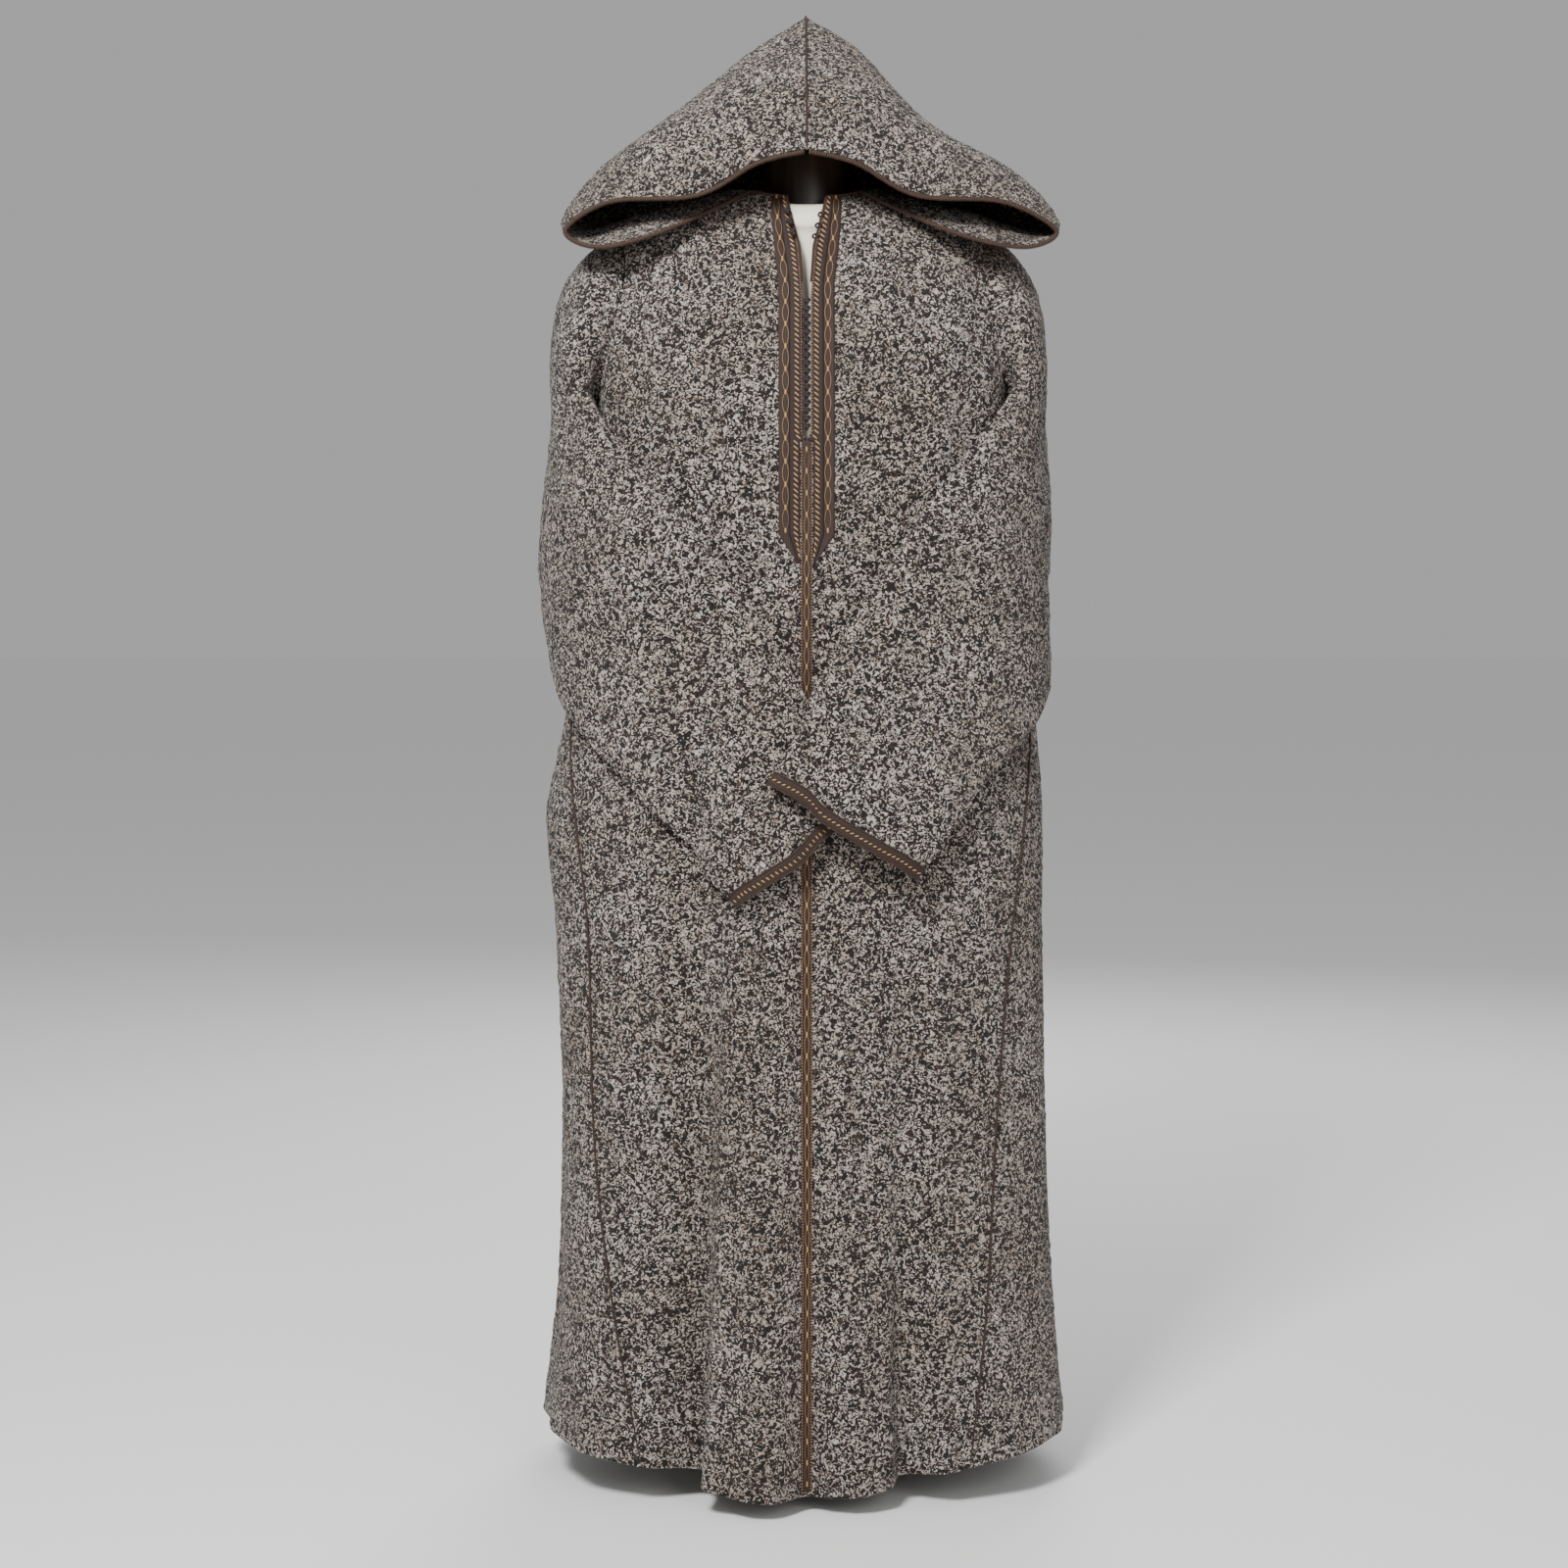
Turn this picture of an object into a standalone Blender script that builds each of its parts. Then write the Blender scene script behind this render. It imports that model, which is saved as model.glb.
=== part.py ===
"""Hooded djellaba robe of tweed wool, on a limbless dress form and its stand.

Metres, +Z up, the robe's front toward -Y. Right and left are the wearer's: right is -X.
Angles round the robe are seen from above, zero at the front centre and positive toward +X.
"""

import math

import bmesh
import bpy
import numpy as np

# Cloth, braid and seams
CLOTH = 0.0025
SEAM_GAP = 0.0003
BRAID_LIFT = 0.0005
BRAID_THICKNESS = 0.0015
NECK_BRAID_LIFT = 0.0011
RIM_CORD_RADIUS = 0.002
RIM_CORD_GAP = 0.0008

# Robe's sections from hem to neck, read smoothly between the rows: name, front_z, side_z, back_z,
# right, left, front, back, squareness
BODY = (
    ("hem", 0.019, 0.060, 0.036, 0.296, 0.295, 0.176, 0.192, 2.3),
    ("shin", 0.195, 0.215, 0.205, 0.279, 0.280, 0.167, 0.183, 2.3),
    ("knee", 0.400, 0.405, 0.402, 0.274, 0.269, 0.159, 0.172, 2.3),
    ("thigh", 0.600, 0.600, 0.600, 0.279, 0.264, 0.151, 0.160, 2.3),
    ("hip", 0.720, 0.720, 0.720, 0.285, 0.263, 0.146, 0.152, 2.3),
    ("waist", 0.860, 0.860, 0.860, 0.260, 0.250, 0.138, 0.140, 2.3),
    ("ribs", 1.000, 1.000, 1.000, 0.240, 0.232, 0.134, 0.134, 2.4),
    ("chest", 1.150, 1.150, 1.150, 0.230, 0.222, 0.130, 0.130, 2.6),
    ("armpit", 1.230, 1.230, 1.230, 0.230, 0.222, 0.124, 0.126, 2.6),
    ("shoulder edge", 1.310, 1.310, 1.315, 0.226, 0.218, 0.105, 0.112, 2.5),
    ("shoulder", 1.352, 1.360, 1.365, 0.203, 0.198, 0.088, 0.092, 2.3),
    ("yoke", 1.378, 1.392, 1.400, 0.135, 0.132, 0.078, 0.080, 2.1),
    ("neck", 1.394, 1.408, 1.425, 0.080, 0.078, 0.072, 0.066, 2.0),
)
UNDERARM_LEVEL = 7.25
SHOULDER_LEVEL = 10.0
NECK_LEVEL = 12.0

# Folds that hang down the skirt: name, angle, half_width, depth at the hem, positive outward, top_z
FOLDS = (
    ("right lobe", -15, 21, 0.031, 1.00),
    ("right lobe edge", -30, 8, 0.013, 0.95),
    ("braid dip", -1, 9, -0.012, 0.80),
    ("left lobe", 17, 15, 0.012, 0.80),
    ("right valley", -41, 10, -0.036, 1.05),
    ("left valley", 36, 9, -0.030, 0.75),
    ("right side ridge", -62, 12, 0.010, 0.85),
    ("left side ridge", 60, 14, 0.006, 0.85),
    ("right side dip", -84, 10, -0.008, 0.70),
    ("left side dip", 84, 10, -0.007, 0.70),
    ("back right ridge", -112, 13, 0.010, 0.90),
    ("back right valley", -134, 11, -0.022, 0.95),
    ("back right lobe", -157, 13, 0.016, 1.05),
    ("back centre valley", 178, 9, -0.016, 0.85),
    ("back left lobe", 157, 12, 0.020, 1.00),
    ("back left valley", 136, 10, -0.020, 0.90),
    ("back left ridge", 114, 12, 0.008, 0.85),
)
FOLD_GROWTH = 1.25

# Seams between the panels, in degrees from the front centre, one row for each section:
# front_right, front_left, back
SEAMS = (
    (49.5, 49.0, 122.0),
    (58.0, 55.0, 116.0),
    (65.0, 60.0, 110.0),
    (67.5, 66.0, 103.0),
    (71.0, 71.5, 97.0),
    (80.0, 80.0, 96.0),
    (82.0, 82.0, 97.0),
    (82.0, 82.0, 98.0),
    (82.0, 82.0, 98.0),
)

# Armhole, in levels of the sections and degrees before and behind the side
ARMHOLE_MIDDLE_LEVEL = 8.70
ARMHOLE_FRONT = 19.0
ARMHOLE_BACK = 21.0
ARMHOLE_LEVELS_BELOW = 1.6
ARMHOLE_RADIUS = 0.2

# Slit and placket. Distances are from the front centre, against height
SLIT_HEIGHTS = (0.0, 1.136, 1.143, 1.286, 1.340, 1.394)
SLIT_HALF_WIDTHS = (0.00015, 0.00015, 0.0045, 0.0045, 0.0085, 0.0225)
PLACKET_HEIGHTS = (0.0, 0.979, 1.009, 1.300, 1.394)
PLACKET_INNER = (0.0088, 0.0088, 0.018, 0.018, 0.030)
PLACKET_OUTER = (0.0120, 0.0120, 0.030, 0.030, 0.041)
PLACKET_BOTTOM_LEVEL = 5.86
CENTRE_BRAID_HALF_WIDTH = 0.0065
CENTRE_BRAID_TOP_LEVEL = 6.90

# Side slit in the right gore's back seam
SIDE_SLIT_Z = 0.740
SIDE_SLIT_HALF = 0.075
SIDE_SLIT_GAPE = 0.007

# Buttons
BUTTON_COUNT = 17
BUTTON_RADIUS = 0.0041
BUTTON_FLATNESS = 0.95
BUTTON_SINK = 0.001
NECK_BUTTON_FROM_EDGE = 0.003
BUTTON_LOWEST_Z = 1.1490
BUTTON_HIGHEST_Z = 1.2800
NECK_BUTTON_HEIGHTS = (1.352, 1.364, 1.376)

# Levels of the panels' rows, and how many columns each panel has
SKIRT_LEVELS = (
    0.0, 0.35, 0.7, 1.05, 1.4, 1.8, 2.2, 2.6, 3.0, 3.5, 4.0, 4.5, 5.0, 5.43,
    5.86, 6.06, 6.48, 6.90, 6.96,
)
ARMHOLE_STEPS = 9
YOKE_LEVELS = (10.5, 11.0, 11.5, 12.0)
FRONT_COLUMNS = 7
GORE_COLUMNS = 6
BACK_COLUMNS = 14

# Sleeves: name, front_angle and front_z of one fold, back_angle and back_z of the other, the lift
# that keeps the sleeve clear, and its depth. Angles are toward the wearer's own side
RIGHT_SLEEVE = (
    ("upper arm", 72, 1.190, 121, 1.105, 0.0050, 0.046),
    ("above elbow", 57, 1.105, 117, 0.992, 0.0050, 0.049),
    ("elbow", 39, 1.030, 98, 0.946, 0.0050, 0.045),
    ("below elbow", 23, 0.965, 83, 0.868, 0.0050, 0.023),
    ("forearm", 6, 0.888, 64, 0.798, 0.0050, 0.019),
    ("wrist", -11, 0.820, 46, 0.720, 0.0060, 0.017),
    ("cuff", -25, 0.756, 25, 0.645, 0.0060, 0.017),
)
LEFT_SLEEVE = (
    ("upper arm", 72, 1.200, 121, 1.105, 0.0050, 0.038),
    ("above elbow", 56, 1.122, 117, 0.992, 0.0050, 0.036),
    ("elbow", 43, 1.055, 96, 0.962, 0.0060, 0.029),
    ("below elbow", 30, 0.995, 83, 0.868, 0.0070, 0.022),
    ("forearm", 16, 0.930, 62, 0.792, 0.0130, 0.019),
    ("wrist", 1, 0.866, 47, 0.720, 0.0260, 0.017),
    ("cuff", -15, 0.774, 38.5, 0.676, 0.0275, 0.017),
)
SLEEVE_STEPS = 12
RING_SQUARENESS = 2.2
ARMHOLE_CORNER_ROW = 3
CAP_STEPS = (0.06, 0.16, 0.34, 0.62)
CAP_RISE = 4.0
CUFF_RING = 0.80
BEFORE_CUFF = 0.6

# Hood, half by half. Each row runs from the neckline over the shoulder, round the outer edge and up
# to the centre seam: name, angle on the robe's neck, then places with x toward the half's own side
HOOD = (
    ("rim", 50, (
        (0.155, -0.104, 1.353), (0.222, -0.100, 1.338), (0.256, -0.095, 1.357), (0.208, -0.104, 1.387),
        (0.116, -0.119, 1.392), (0.052, -0.128, 1.424), (0.000, -0.131, 1.436),
    )),
    ("brow", 72, (
        (0.165, -0.055, 1.378), (0.229, -0.053, 1.358), (0.262, -0.048, 1.371), (0.226, -0.058, 1.409),
        (0.134, -0.078, 1.446), (0.066, -0.087, 1.492), (0.000, -0.092, 1.512),
    )),
    ("crown", 95, (
        (0.160, -0.010, 1.390), (0.226, -0.004, 1.369), (0.256, 0.002, 1.383), (0.222, -0.006, 1.427),
        (0.127, -0.018, 1.479), (0.062, -0.028, 1.545), (0.000, -0.034, 1.568),
    )),
    ("apex", 120, (
        (0.140, 0.040, 1.393), (0.197, 0.050, 1.377), (0.222, 0.058, 1.391), (0.196, 0.052, 1.431),
        (0.112, 0.040, 1.486), (0.058, 0.030, 1.562), (0.000, 0.022, 1.600),
    )),
    ("nape", 150, (
        (0.095, 0.092, 1.384), (0.130, 0.108, 1.374), (0.148, 0.119, 1.388), (0.134, 0.125, 1.422),
        (0.090, 0.122, 1.464), (0.050, 0.110, 1.516), (0.000, 0.102, 1.545),
    )),
    ("back", 180, (
        (0.000, 0.109, 1.384), (0.000, 0.138, 1.381), (0.000, 0.158, 1.394), (0.000, 0.168, 1.421),
        (0.000, 0.168, 1.450), (0.000, 0.160, 1.477), (0.000, 0.149, 1.498),
    )),
)
HOOD_NECK_LEVEL = 11.92
HOOD_NECK_LIFT = 0.0013
HOOD_ROW_STEPS = 3
HOOD_COLUMN_STEPS = 2
HOOD_WIDER_LEFT = 0.009
HOOD_FULLER_RIGHT = 0.010

# Dress form below the shoulders: z, half_width, front, back. Then its neck and the stand
FORM_SQUARENESS = 2.2
FORM_BUST = (
    (0.720, 0.150, 0.105, 0.110),
    (0.860, 0.140, 0.095, 0.100),
    (1.000, 0.155, 0.103, 0.105),
    (1.120, 0.172, 0.112, 0.112),
    (1.200, 0.178, 0.106, 0.108),
    (1.280, 0.178, 0.088, 0.094),
)
FORM_GAP = 0.0004
FORM_SHOULDER_GAP = 0.011
NECK_RADIUS = 0.047
NECK_FRONT_Z = 1.390
NECK_BACK_Z = 1.415
NECK_CAP_COLUMNS = 24
NECK_CAP_RINGS = ((1.440, 0.045), (1.450, 0.043), (1.455, 0.036))
POLE_RADIUS = 0.016
POLE_ROUNDING = 0.001
BASE_ROUNDING = 0.002
BASE_RADIUS = 0.105
BASE_THICKNESS = 0.010

# Colours and finish: red, green, blue, roughness, metallic
TWEED = (0.19, 0.165, 0.145, 0.95, 0.0)
BRAID = (0.075, 0.035, 0.018, 0.85, 0.0)
KNOT = (0.018, 0.009, 0.008, 0.80, 0.0)
JERSEY = (0.60, 0.56, 0.46, 0.85, 0.0)
DARK_WOOD = (0.022, 0.012, 0.007, 0.45, 0.0)
STEEL = (0.30, 0.30, 0.31, 0.35, 1.0)


def smooth_rows(rows, level):
    """Rows of a table read at fractional levels along a smooth curve through them."""
    rows = np.asarray(rows, float)
    level = np.asarray(level, float)
    first = np.clip(np.floor(level).astype(int), 0, len(rows) - 2)
    part = (level - first).reshape(level.shape + (1,) * (rows.ndim - 1))
    before = rows[np.maximum(first - 1, 0)]
    start = rows[first]
    end = rows[first + 1]
    after = rows[np.minimum(first + 2, len(rows) - 1)]
    linear = (end - before) * part
    square = (2 * before - 5 * start + 4 * end - after) * part**2
    cube = (3 * (start - end) + after - before) * part**3
    return start + 0.5 * (linear + square + cube)


def body_surface(angle, level):
    """Point of the robe's outer surface, without its slit."""
    angle, level = np.broadcast_arrays(np.asarray(angle, float), np.asarray(level, float))
    sizes = smooth_rows([row[1:] for row in BODY], level)
    front_z, side_z, back_z, right, left, front, back, squareness = np.moveaxis(sizes, -1, 0)
    sine = np.sin(angle)
    cosine = np.cos(angle)
    across = np.abs(sine / np.where(sine > 0, left, right))
    along = np.abs(cosine / np.where(cosine > 0, front, back))
    radius = (across**squareness + along**squareness) ** (-1 / squareness)
    z = side_z + (np.where(cosine > 0, front_z, back_z) - side_z) * cosine**2
    for _name, middle, half_width, depth, top_z in FOLDS:
        turn = (angle - math.radians(middle) + math.pi) % (2 * math.pi) - math.pi
        wave = np.cos(np.clip(turn / math.radians(half_width), -1, 1) * math.pi / 2) ** 2
        growth = np.clip((top_z - z) / top_z, 0, 1) ** FOLD_GROWTH
        radius = radius + depth * wave * growth
    return np.stack([radius * sine, -radius * cosine, z], axis=-1)


def body_point(angle, level, offset=0.0):
    """Point at a distance off the robe's outer surface, positive outward."""
    step = 1e-3
    around = body_surface(angle + step, level) - body_surface(angle - step, level)
    level = np.asarray(level, float)
    upward = body_surface(angle, level + step) - body_surface(angle, level - step)
    normal = np.cross(around, upward)
    normal /= np.linalg.norm(normal, axis=-1, keepdims=True)
    return body_surface(angle, level) + normal * np.asarray(offset, float)[..., None]


def level_at(angle, z):
    """Level of the sections where the robe's surface has this height."""
    low = np.full(np.shape(z), -0.5)
    high = np.full(np.shape(z), NECK_LEVEL)
    for _ in range(40):
        middle = (low + high) / 2
        above = body_surface(angle, middle)[..., 2] > z
        high = np.where(above, middle, high)
        low = np.where(above, low, middle)
    return (low + high) / 2


def gap_angle(angle, level):
    """Half the seam gap as an angle."""
    step = 1e-3
    run = body_surface(angle + step, level) - body_surface(angle, level)
    return SEAM_GAP / 2 * step / np.linalg.norm(run, axis=-1)


def armhole_angle(level, reach):
    """How far the armhole reaches from the side at a level, in degrees."""
    above = SHOULDER_LEVEL - ARMHOLE_MIDDLE_LEVEL
    half = np.where(level > ARMHOLE_MIDDLE_LEVEL, above, ARMHOLE_LEVELS_BELOW)
    share = np.clip((level - ARMHOLE_MIDDLE_LEVEL) / half, -1, 1)
    return reach * np.sqrt(1 - share**2)


def front_edge(side, level):
    """Angle of the front panel's outer edge, toward its own side."""
    seam = smooth_rows(SEAMS, min(level, UNDERARM_LEVEL))[1 if side > 0 else 0]
    if level > UNDERARM_LEVEL:
        seam = 90.0 - float(armhole_angle(level, ARMHOLE_FRONT))
    return math.radians(seam)


def back_edge(side, level):
    """Angle of the back panel's outer edge, toward its own side."""
    seam = smooth_rows(SEAMS, min(level, UNDERARM_LEVEL))[2]
    if level > UNDERARM_LEVEL:
        seam = 90.0 + float(armhole_angle(level, ARMHOLE_BACK))
    return math.radians(seam)


def panel_levels():
    armhole = np.linspace(UNDERARM_LEVEL, SHOULDER_LEVEL, ARMHOLE_STEPS + 1)
    return [*SKIRT_LEVELS, *armhole, *YOKE_LEVELS]


def front_angles(side, level):
    """Angles of the front panel's columns: slit, two braid edges, then evenly to the seam."""
    middle = body_surface(0.0, level)
    radius = -middle[1]
    z = middle[2]
    slit = math.atan2(np.interp(z, SLIT_HEIGHTS, SLIT_HALF_WIDTHS), radius)
    inner = math.atan2(np.interp(z, PLACKET_HEIGHTS, PLACKET_INNER), radius)
    outer = math.atan2(np.interp(z, PLACKET_HEIGHTS, PLACKET_OUTER), radius)
    edge = front_edge(side, level)
    edge -= gap_angle(side * edge, level)
    rest = np.linspace(outer, edge, FRONT_COLUMNS + 1)[1:]
    return np.array([slit, inner, outer, *rest])


def gore_angles(side, level):
    front = front_edge(side, level)
    back = back_edge(side, level)
    front += gap_angle(side * front, level)
    back -= gap_angle(side * back, level)
    return np.linspace(front, back, GORE_COLUMNS + 1)


def back_angles(level):
    """Angles of the back panel's columns, from the left seam round to the right one."""
    left = back_edge(1, level)
    right = 2 * math.pi - back_edge(-1, level)
    left += gap_angle(left, level)
    right -= gap_angle(right, level)
    return np.linspace(left, right, BACK_COLUMNS + 1)


def grid_points(levels, angle_rows, offset):
    """Rows of points, each row at its own level and angles, in order of rising angle."""
    rows = []
    for level, angles in zip(levels, angle_rows):
        rows.append(body_point(np.sort(angles), np.full(len(angles), level), offset))
    return np.array(rows)


def material(name, look):
    made = bpy.data.materials.new(name)
    made.use_nodes = True
    shader = made.node_tree.nodes["Principled BSDF"]
    shader.inputs["Base Color"].default_value = (*look[:3], 1.0)
    shader.inputs["Roughness"].default_value = look[3]
    shader.inputs["Metallic"].default_value = look[4]
    made.diffuse_color = (*look[:3], 1.0)
    return made


def solid(name, points, faces, look):
    """One named object from points and faces, smooth but for its cut edges."""
    mesh = bpy.data.meshes.new(name)
    mesh.from_pydata([tuple(point) for point in points], [], faces)
    shape = bmesh.new()
    shape.from_mesh(mesh)
    bmesh.ops.recalc_face_normals(shape, faces=shape.faces)
    shape.to_mesh(mesh)
    shape.free()
    mesh.shade_smooth()
    mesh.set_sharp_from_angle(angle=math.radians(50))
    mesh.materials.append(material(name, look))
    made = bpy.data.objects.new(name, mesh)
    bpy.context.scene.collection.objects.link(made)
    return made


def wall(name, outer, inner, look, tube=False):
    """Closed solid between two grids of points. A tube's columns run round into the first one."""
    rows, columns = outer.shape[:2]
    points = np.concatenate([outer.reshape(-1, 3), inner.reshape(-1, 3)])
    shift = rows * columns
    last = columns if tube else columns - 1
    faces = []
    for row in range(rows - 1):
        for column in range(last):
            after = (column + 1) % columns
            a = row * columns + column
            b = row * columns + after
            c = b + columns
            d = a + columns
            faces += [(a, b, c), (a, c, d)]
            faces += [(a + shift, c + shift, b + shift), (a + shift, d + shift, c + shift)]
    for row in (0, rows - 1):
        for column in range(last):
            a = row * columns + column
            b = row * columns + (column + 1) % columns
            faces += [(a, b, b + shift), (a, b + shift, a + shift)]
    for column in () if tube else (0, columns - 1):
        for row in range(rows - 1):
            a = row * columns + column
            b = a + columns
            faces += [(a, b, b + shift), (a, b + shift, a + shift)]
    return solid(name, points, faces, look)


def make_fronts(levels):
    for side, name in ((-1, "front_right"), (1, "front_left")):
        angles = [side * front_angles(side, level) for level in levels]
        wall(name, grid_points(levels, angles, 0.0), grid_points(levels, angles, -CLOTH), TWEED)


def make_back(levels):
    angles = [back_angles(level) for level in levels]
    wall("back", grid_points(levels, angles, 0.0), grid_points(levels, angles, -CLOTH), TWEED)


def side_slit(levels):
    """How far the right gore's points stand out where its back seam is left open."""
    z = np.array([body_surface(-math.pi / 2, level)[2] for level in levels])
    height = np.clip((z - SIDE_SLIT_Z) / SIDE_SLIT_HALF, -1, 1)
    along = np.cos(height * math.pi / 2) ** 2
    across = np.clip(1 - np.arange(GORE_COLUMNS + 1) / 2, 0, 1)
    return SIDE_SLIT_GAPE * along[:, None] * across[None, :]


def make_gores(levels):
    levels = [level for level in levels if level <= UNDERARM_LEVEL + 1e-6]
    for side, name in ((-1, "gore_right"), (1, "gore_left")):
        rows = [np.sort(side * gore_angles(side, level)) for level in levels]
        gape = side_slit(levels) if side < 0 else np.zeros((len(levels), GORE_COLUMNS + 1))
        outer = []
        inner = []
        for row, level, out in zip(rows, levels, gape):
            outer.append(body_point(row, np.full(len(row), level), out))
            inner.append(body_point(row, np.full(len(row), level), out - CLOTH))
        wall(name, np.array(outer), np.array(inner), TWEED)


def sleeve_paths(side, table):
    """Angles, heights and offsets of the sleeve's rings, from the armhole to the cuff."""
    rows = list(np.linspace(UNDERARM_LEVEL, SHOULDER_LEVEL, ARMHOLE_STEPS + 1))
    corner = ARMHOLE_CORNER_ROW
    front = [(front_edge(side, level), level) for level in rows]
    back = [(back_edge(side, level), level) for level in rows]
    under = np.linspace(back[0][0], front[0][0], GORE_COLUMNS + 1)[1:-1]
    loop = front[corner:] + back[-2:corner - 1:-1] + back[corner - 1::-1]
    loop += [(angle, UNDERARM_LEVEL) for angle in under] + front[:corner]
    angles = np.array([angle for angle, _ in loop])
    heights = body_surface(side * angles, np.array([level for _, level in loop]))[:, 2]
    middle_angle = math.pi / 2
    middle_z = (heights.max() + heights.min()) / 2
    reach = np.hypot((angles - middle_angle) * ARMHOLE_RADIUS, heights - middle_z)
    shrink = 1 - 1.5 * SEAM_GAP / reach
    angles = middle_angle + (angles - middle_angle) * shrink
    heights = middle_z + (heights - middle_z) * shrink

    steps = np.arange(SLEEVE_STEPS + 1) / SLEEVE_STEPS
    there = np.concatenate([steps, steps[-2:0:-1]])
    face = np.concatenate([np.ones(SLEEVE_STEPS + 1), -np.ones(SLEEVE_STEPS - 1)])
    bulge = face * (1 - np.abs(2 * there - 1) ** 3) ** (1 / RING_SQUARENESS)
    numbers = [row[1:] for row in table]
    rings = []
    first = smooth_rows(numbers, 0.0)
    for share in (0.0, *CAP_STEPS):
        ring = ring_values(first, there, bulge)
        rise = 1 - (1 - share) ** CAP_RISE
        cap_angles = angles + (ring[0] - angles) * share
        cap_heights = heights + (ring[1] - heights) * share
        rings.append((cap_angles, cap_heights, ring[2] * rise))
    last = len(table) - 1
    places = [step / 2 for step in range(2 * last - 1)]
    places += [last - BEFORE_CUFF, last - 1 + CUFF_RING, last]
    for place in places:
        rings.append(ring_values(smooth_rows(numbers, float(place)), there, bulge))
    return rings


def ring_values(row, there, bulge):
    """Angle, height and offset of each point of one flattened ring."""
    front_angle, front_z, back_angle, back_z, lift, depth = row
    angle = np.radians(front_angle + (back_angle - front_angle) * there)
    z = front_z + (back_z - front_z) * there
    return angle, z, lift + depth / 2 * (1 + bulge)


def sleeve_grid(side, table):
    rows = []
    for angle, z, offset in sleeve_paths(side, table):
        turned = side * angle
        rows.append(body_point(turned, level_at(turned, z), offset))
    return np.array(rows)


def tube_normals(grid):
    """Outward normals of a tube of rings."""
    around = np.roll(grid, -1, axis=1) - np.roll(grid, 1, axis=1)
    along = np.gradient(grid, axis=0)
    normal = np.cross(around, along)
    normal /= np.linalg.norm(normal, axis=-1, keepdims=True)
    spread = grid - grid.mean(axis=1, keepdims=True)
    return normal if (normal * spread).sum() > 0 else -normal


def make_sleeves():
    for side, name, table in ((-1, "right", RIGHT_SLEEVE), (1, "left", LEFT_SLEEVE)):
        grid = sleeve_grid(side, table)
        normals = tube_normals(grid)
        wall(f"sleeve_{name}", grid, grid - normals * CLOTH, TWEED, tube=True)
        band = grid[-2:] + normals[-2:] * BRAID_LIFT
        wall(f"cuff_braid_{name}", band + normals[-2:] * BRAID_THICKNESS, band, BRAID, tube=True)


def read_across(wanted, distance, values):
    """Values read at the wanted distances, between those where they are known."""
    return np.stack([np.interp(wanted, distance, values[:, axis]) for axis in range(3)], axis=-1)


def strip_on_front(side, levels, start, end, columns):
    """Rows of points between two distances from the front centre, on the panel's own facets."""
    rows = []
    normals = []
    for level, from_here, to_there in zip(levels, start, end):
        angles = side * front_angles(side, level)
        points = body_point(angles, np.full(len(angles), level))
        outward = body_point(angles, np.full(len(angles), level), 1.0) - points
        distance = np.abs(points[:, 0])
        wanted = np.linspace(from_here, to_there, columns)
        rows.append(read_across(wanted, distance, points))
        normals.append(read_across(wanted, distance, outward))
    return np.array(rows), np.array(normals)


def lay_braid(name, levels, points, normals):
    """Braid on a strip of the panel's points, a little higher where the neck curves."""
    lift = np.interp(levels, (YOKE_LEVELS[0], YOKE_LEVELS[1]), (BRAID_LIFT, NECK_BRAID_LIFT))
    under = points + normals * lift[:, None, None]
    wall(name, under + normals * BRAID_THICKNESS, under, BRAID)


def make_placket(levels):
    """Two braids on each side of the slit, and the one on the centre seam below the buttons."""
    above = [level for level in levels if level >= PLACKET_BOTTOM_LEVEL - 1e-6]
    z = np.array([body_surface(0.0, level)[2] for level in above])
    slit = np.interp(z, SLIT_HEIGHTS, SLIT_HALF_WIDTHS)
    inner = np.interp(z, PLACKET_HEIGHTS, PLACKET_INNER)
    outer = np.interp(z, PLACKET_HEIGHTS, PLACKET_OUTER)
    beside_centre = CENTRE_BRAID_HALF_WIDTH + SEAM_GAP
    start = np.where(np.array(above) <= CENTRE_BRAID_TOP_LEVEL + 1e-6, beside_centre, slit + SEAM_GAP)
    for side, name in ((-1, "right"), (1, "left")):
        lay_braid(f"inner_braid_{name}", above, *strip_on_front(side, above, start, inner - SEAM_GAP, 2))
        lay_braid(f"outer_braid_{name}", above, *strip_on_front(side, above, inner, outer, 2))
    below = [level for level in levels if level <= CENTRE_BRAID_TOP_LEVEL + 1e-6]
    near = np.full(len(below), 0.0)
    far = np.full(len(below), CENTRE_BRAID_HALF_WIDTH)
    right, right_normals = strip_on_front(-1, below, near, far, 2)
    left, left_normals = strip_on_front(1, below, near, far, 2)
    points = np.stack([right[:, 1], (right[:, 0] + left[:, 0]) / 2, left[:, 1]], axis=1)
    middle_normals = (right_normals[:, 0] + left_normals[:, 0]) / 2
    normals = np.stack([right_normals[:, 1], middle_normals, left_normals[:, 1]], axis=1)
    lay_braid("centre_braid", below, points, normals)


def ball(name, centre):
    """Knotted ball button, a little flatter than it is wide."""
    bpy.ops.mesh.primitive_uv_sphere_add(segments=8, ring_count=5, radius=BUTTON_RADIUS, location=centre)
    made = bpy.context.object
    made.name = name
    made.scale = (1.0, 1.0, BUTTON_FLATNESS)
    made.data.shade_smooth()
    made.data.materials.append(material(name, KNOT))


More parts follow.
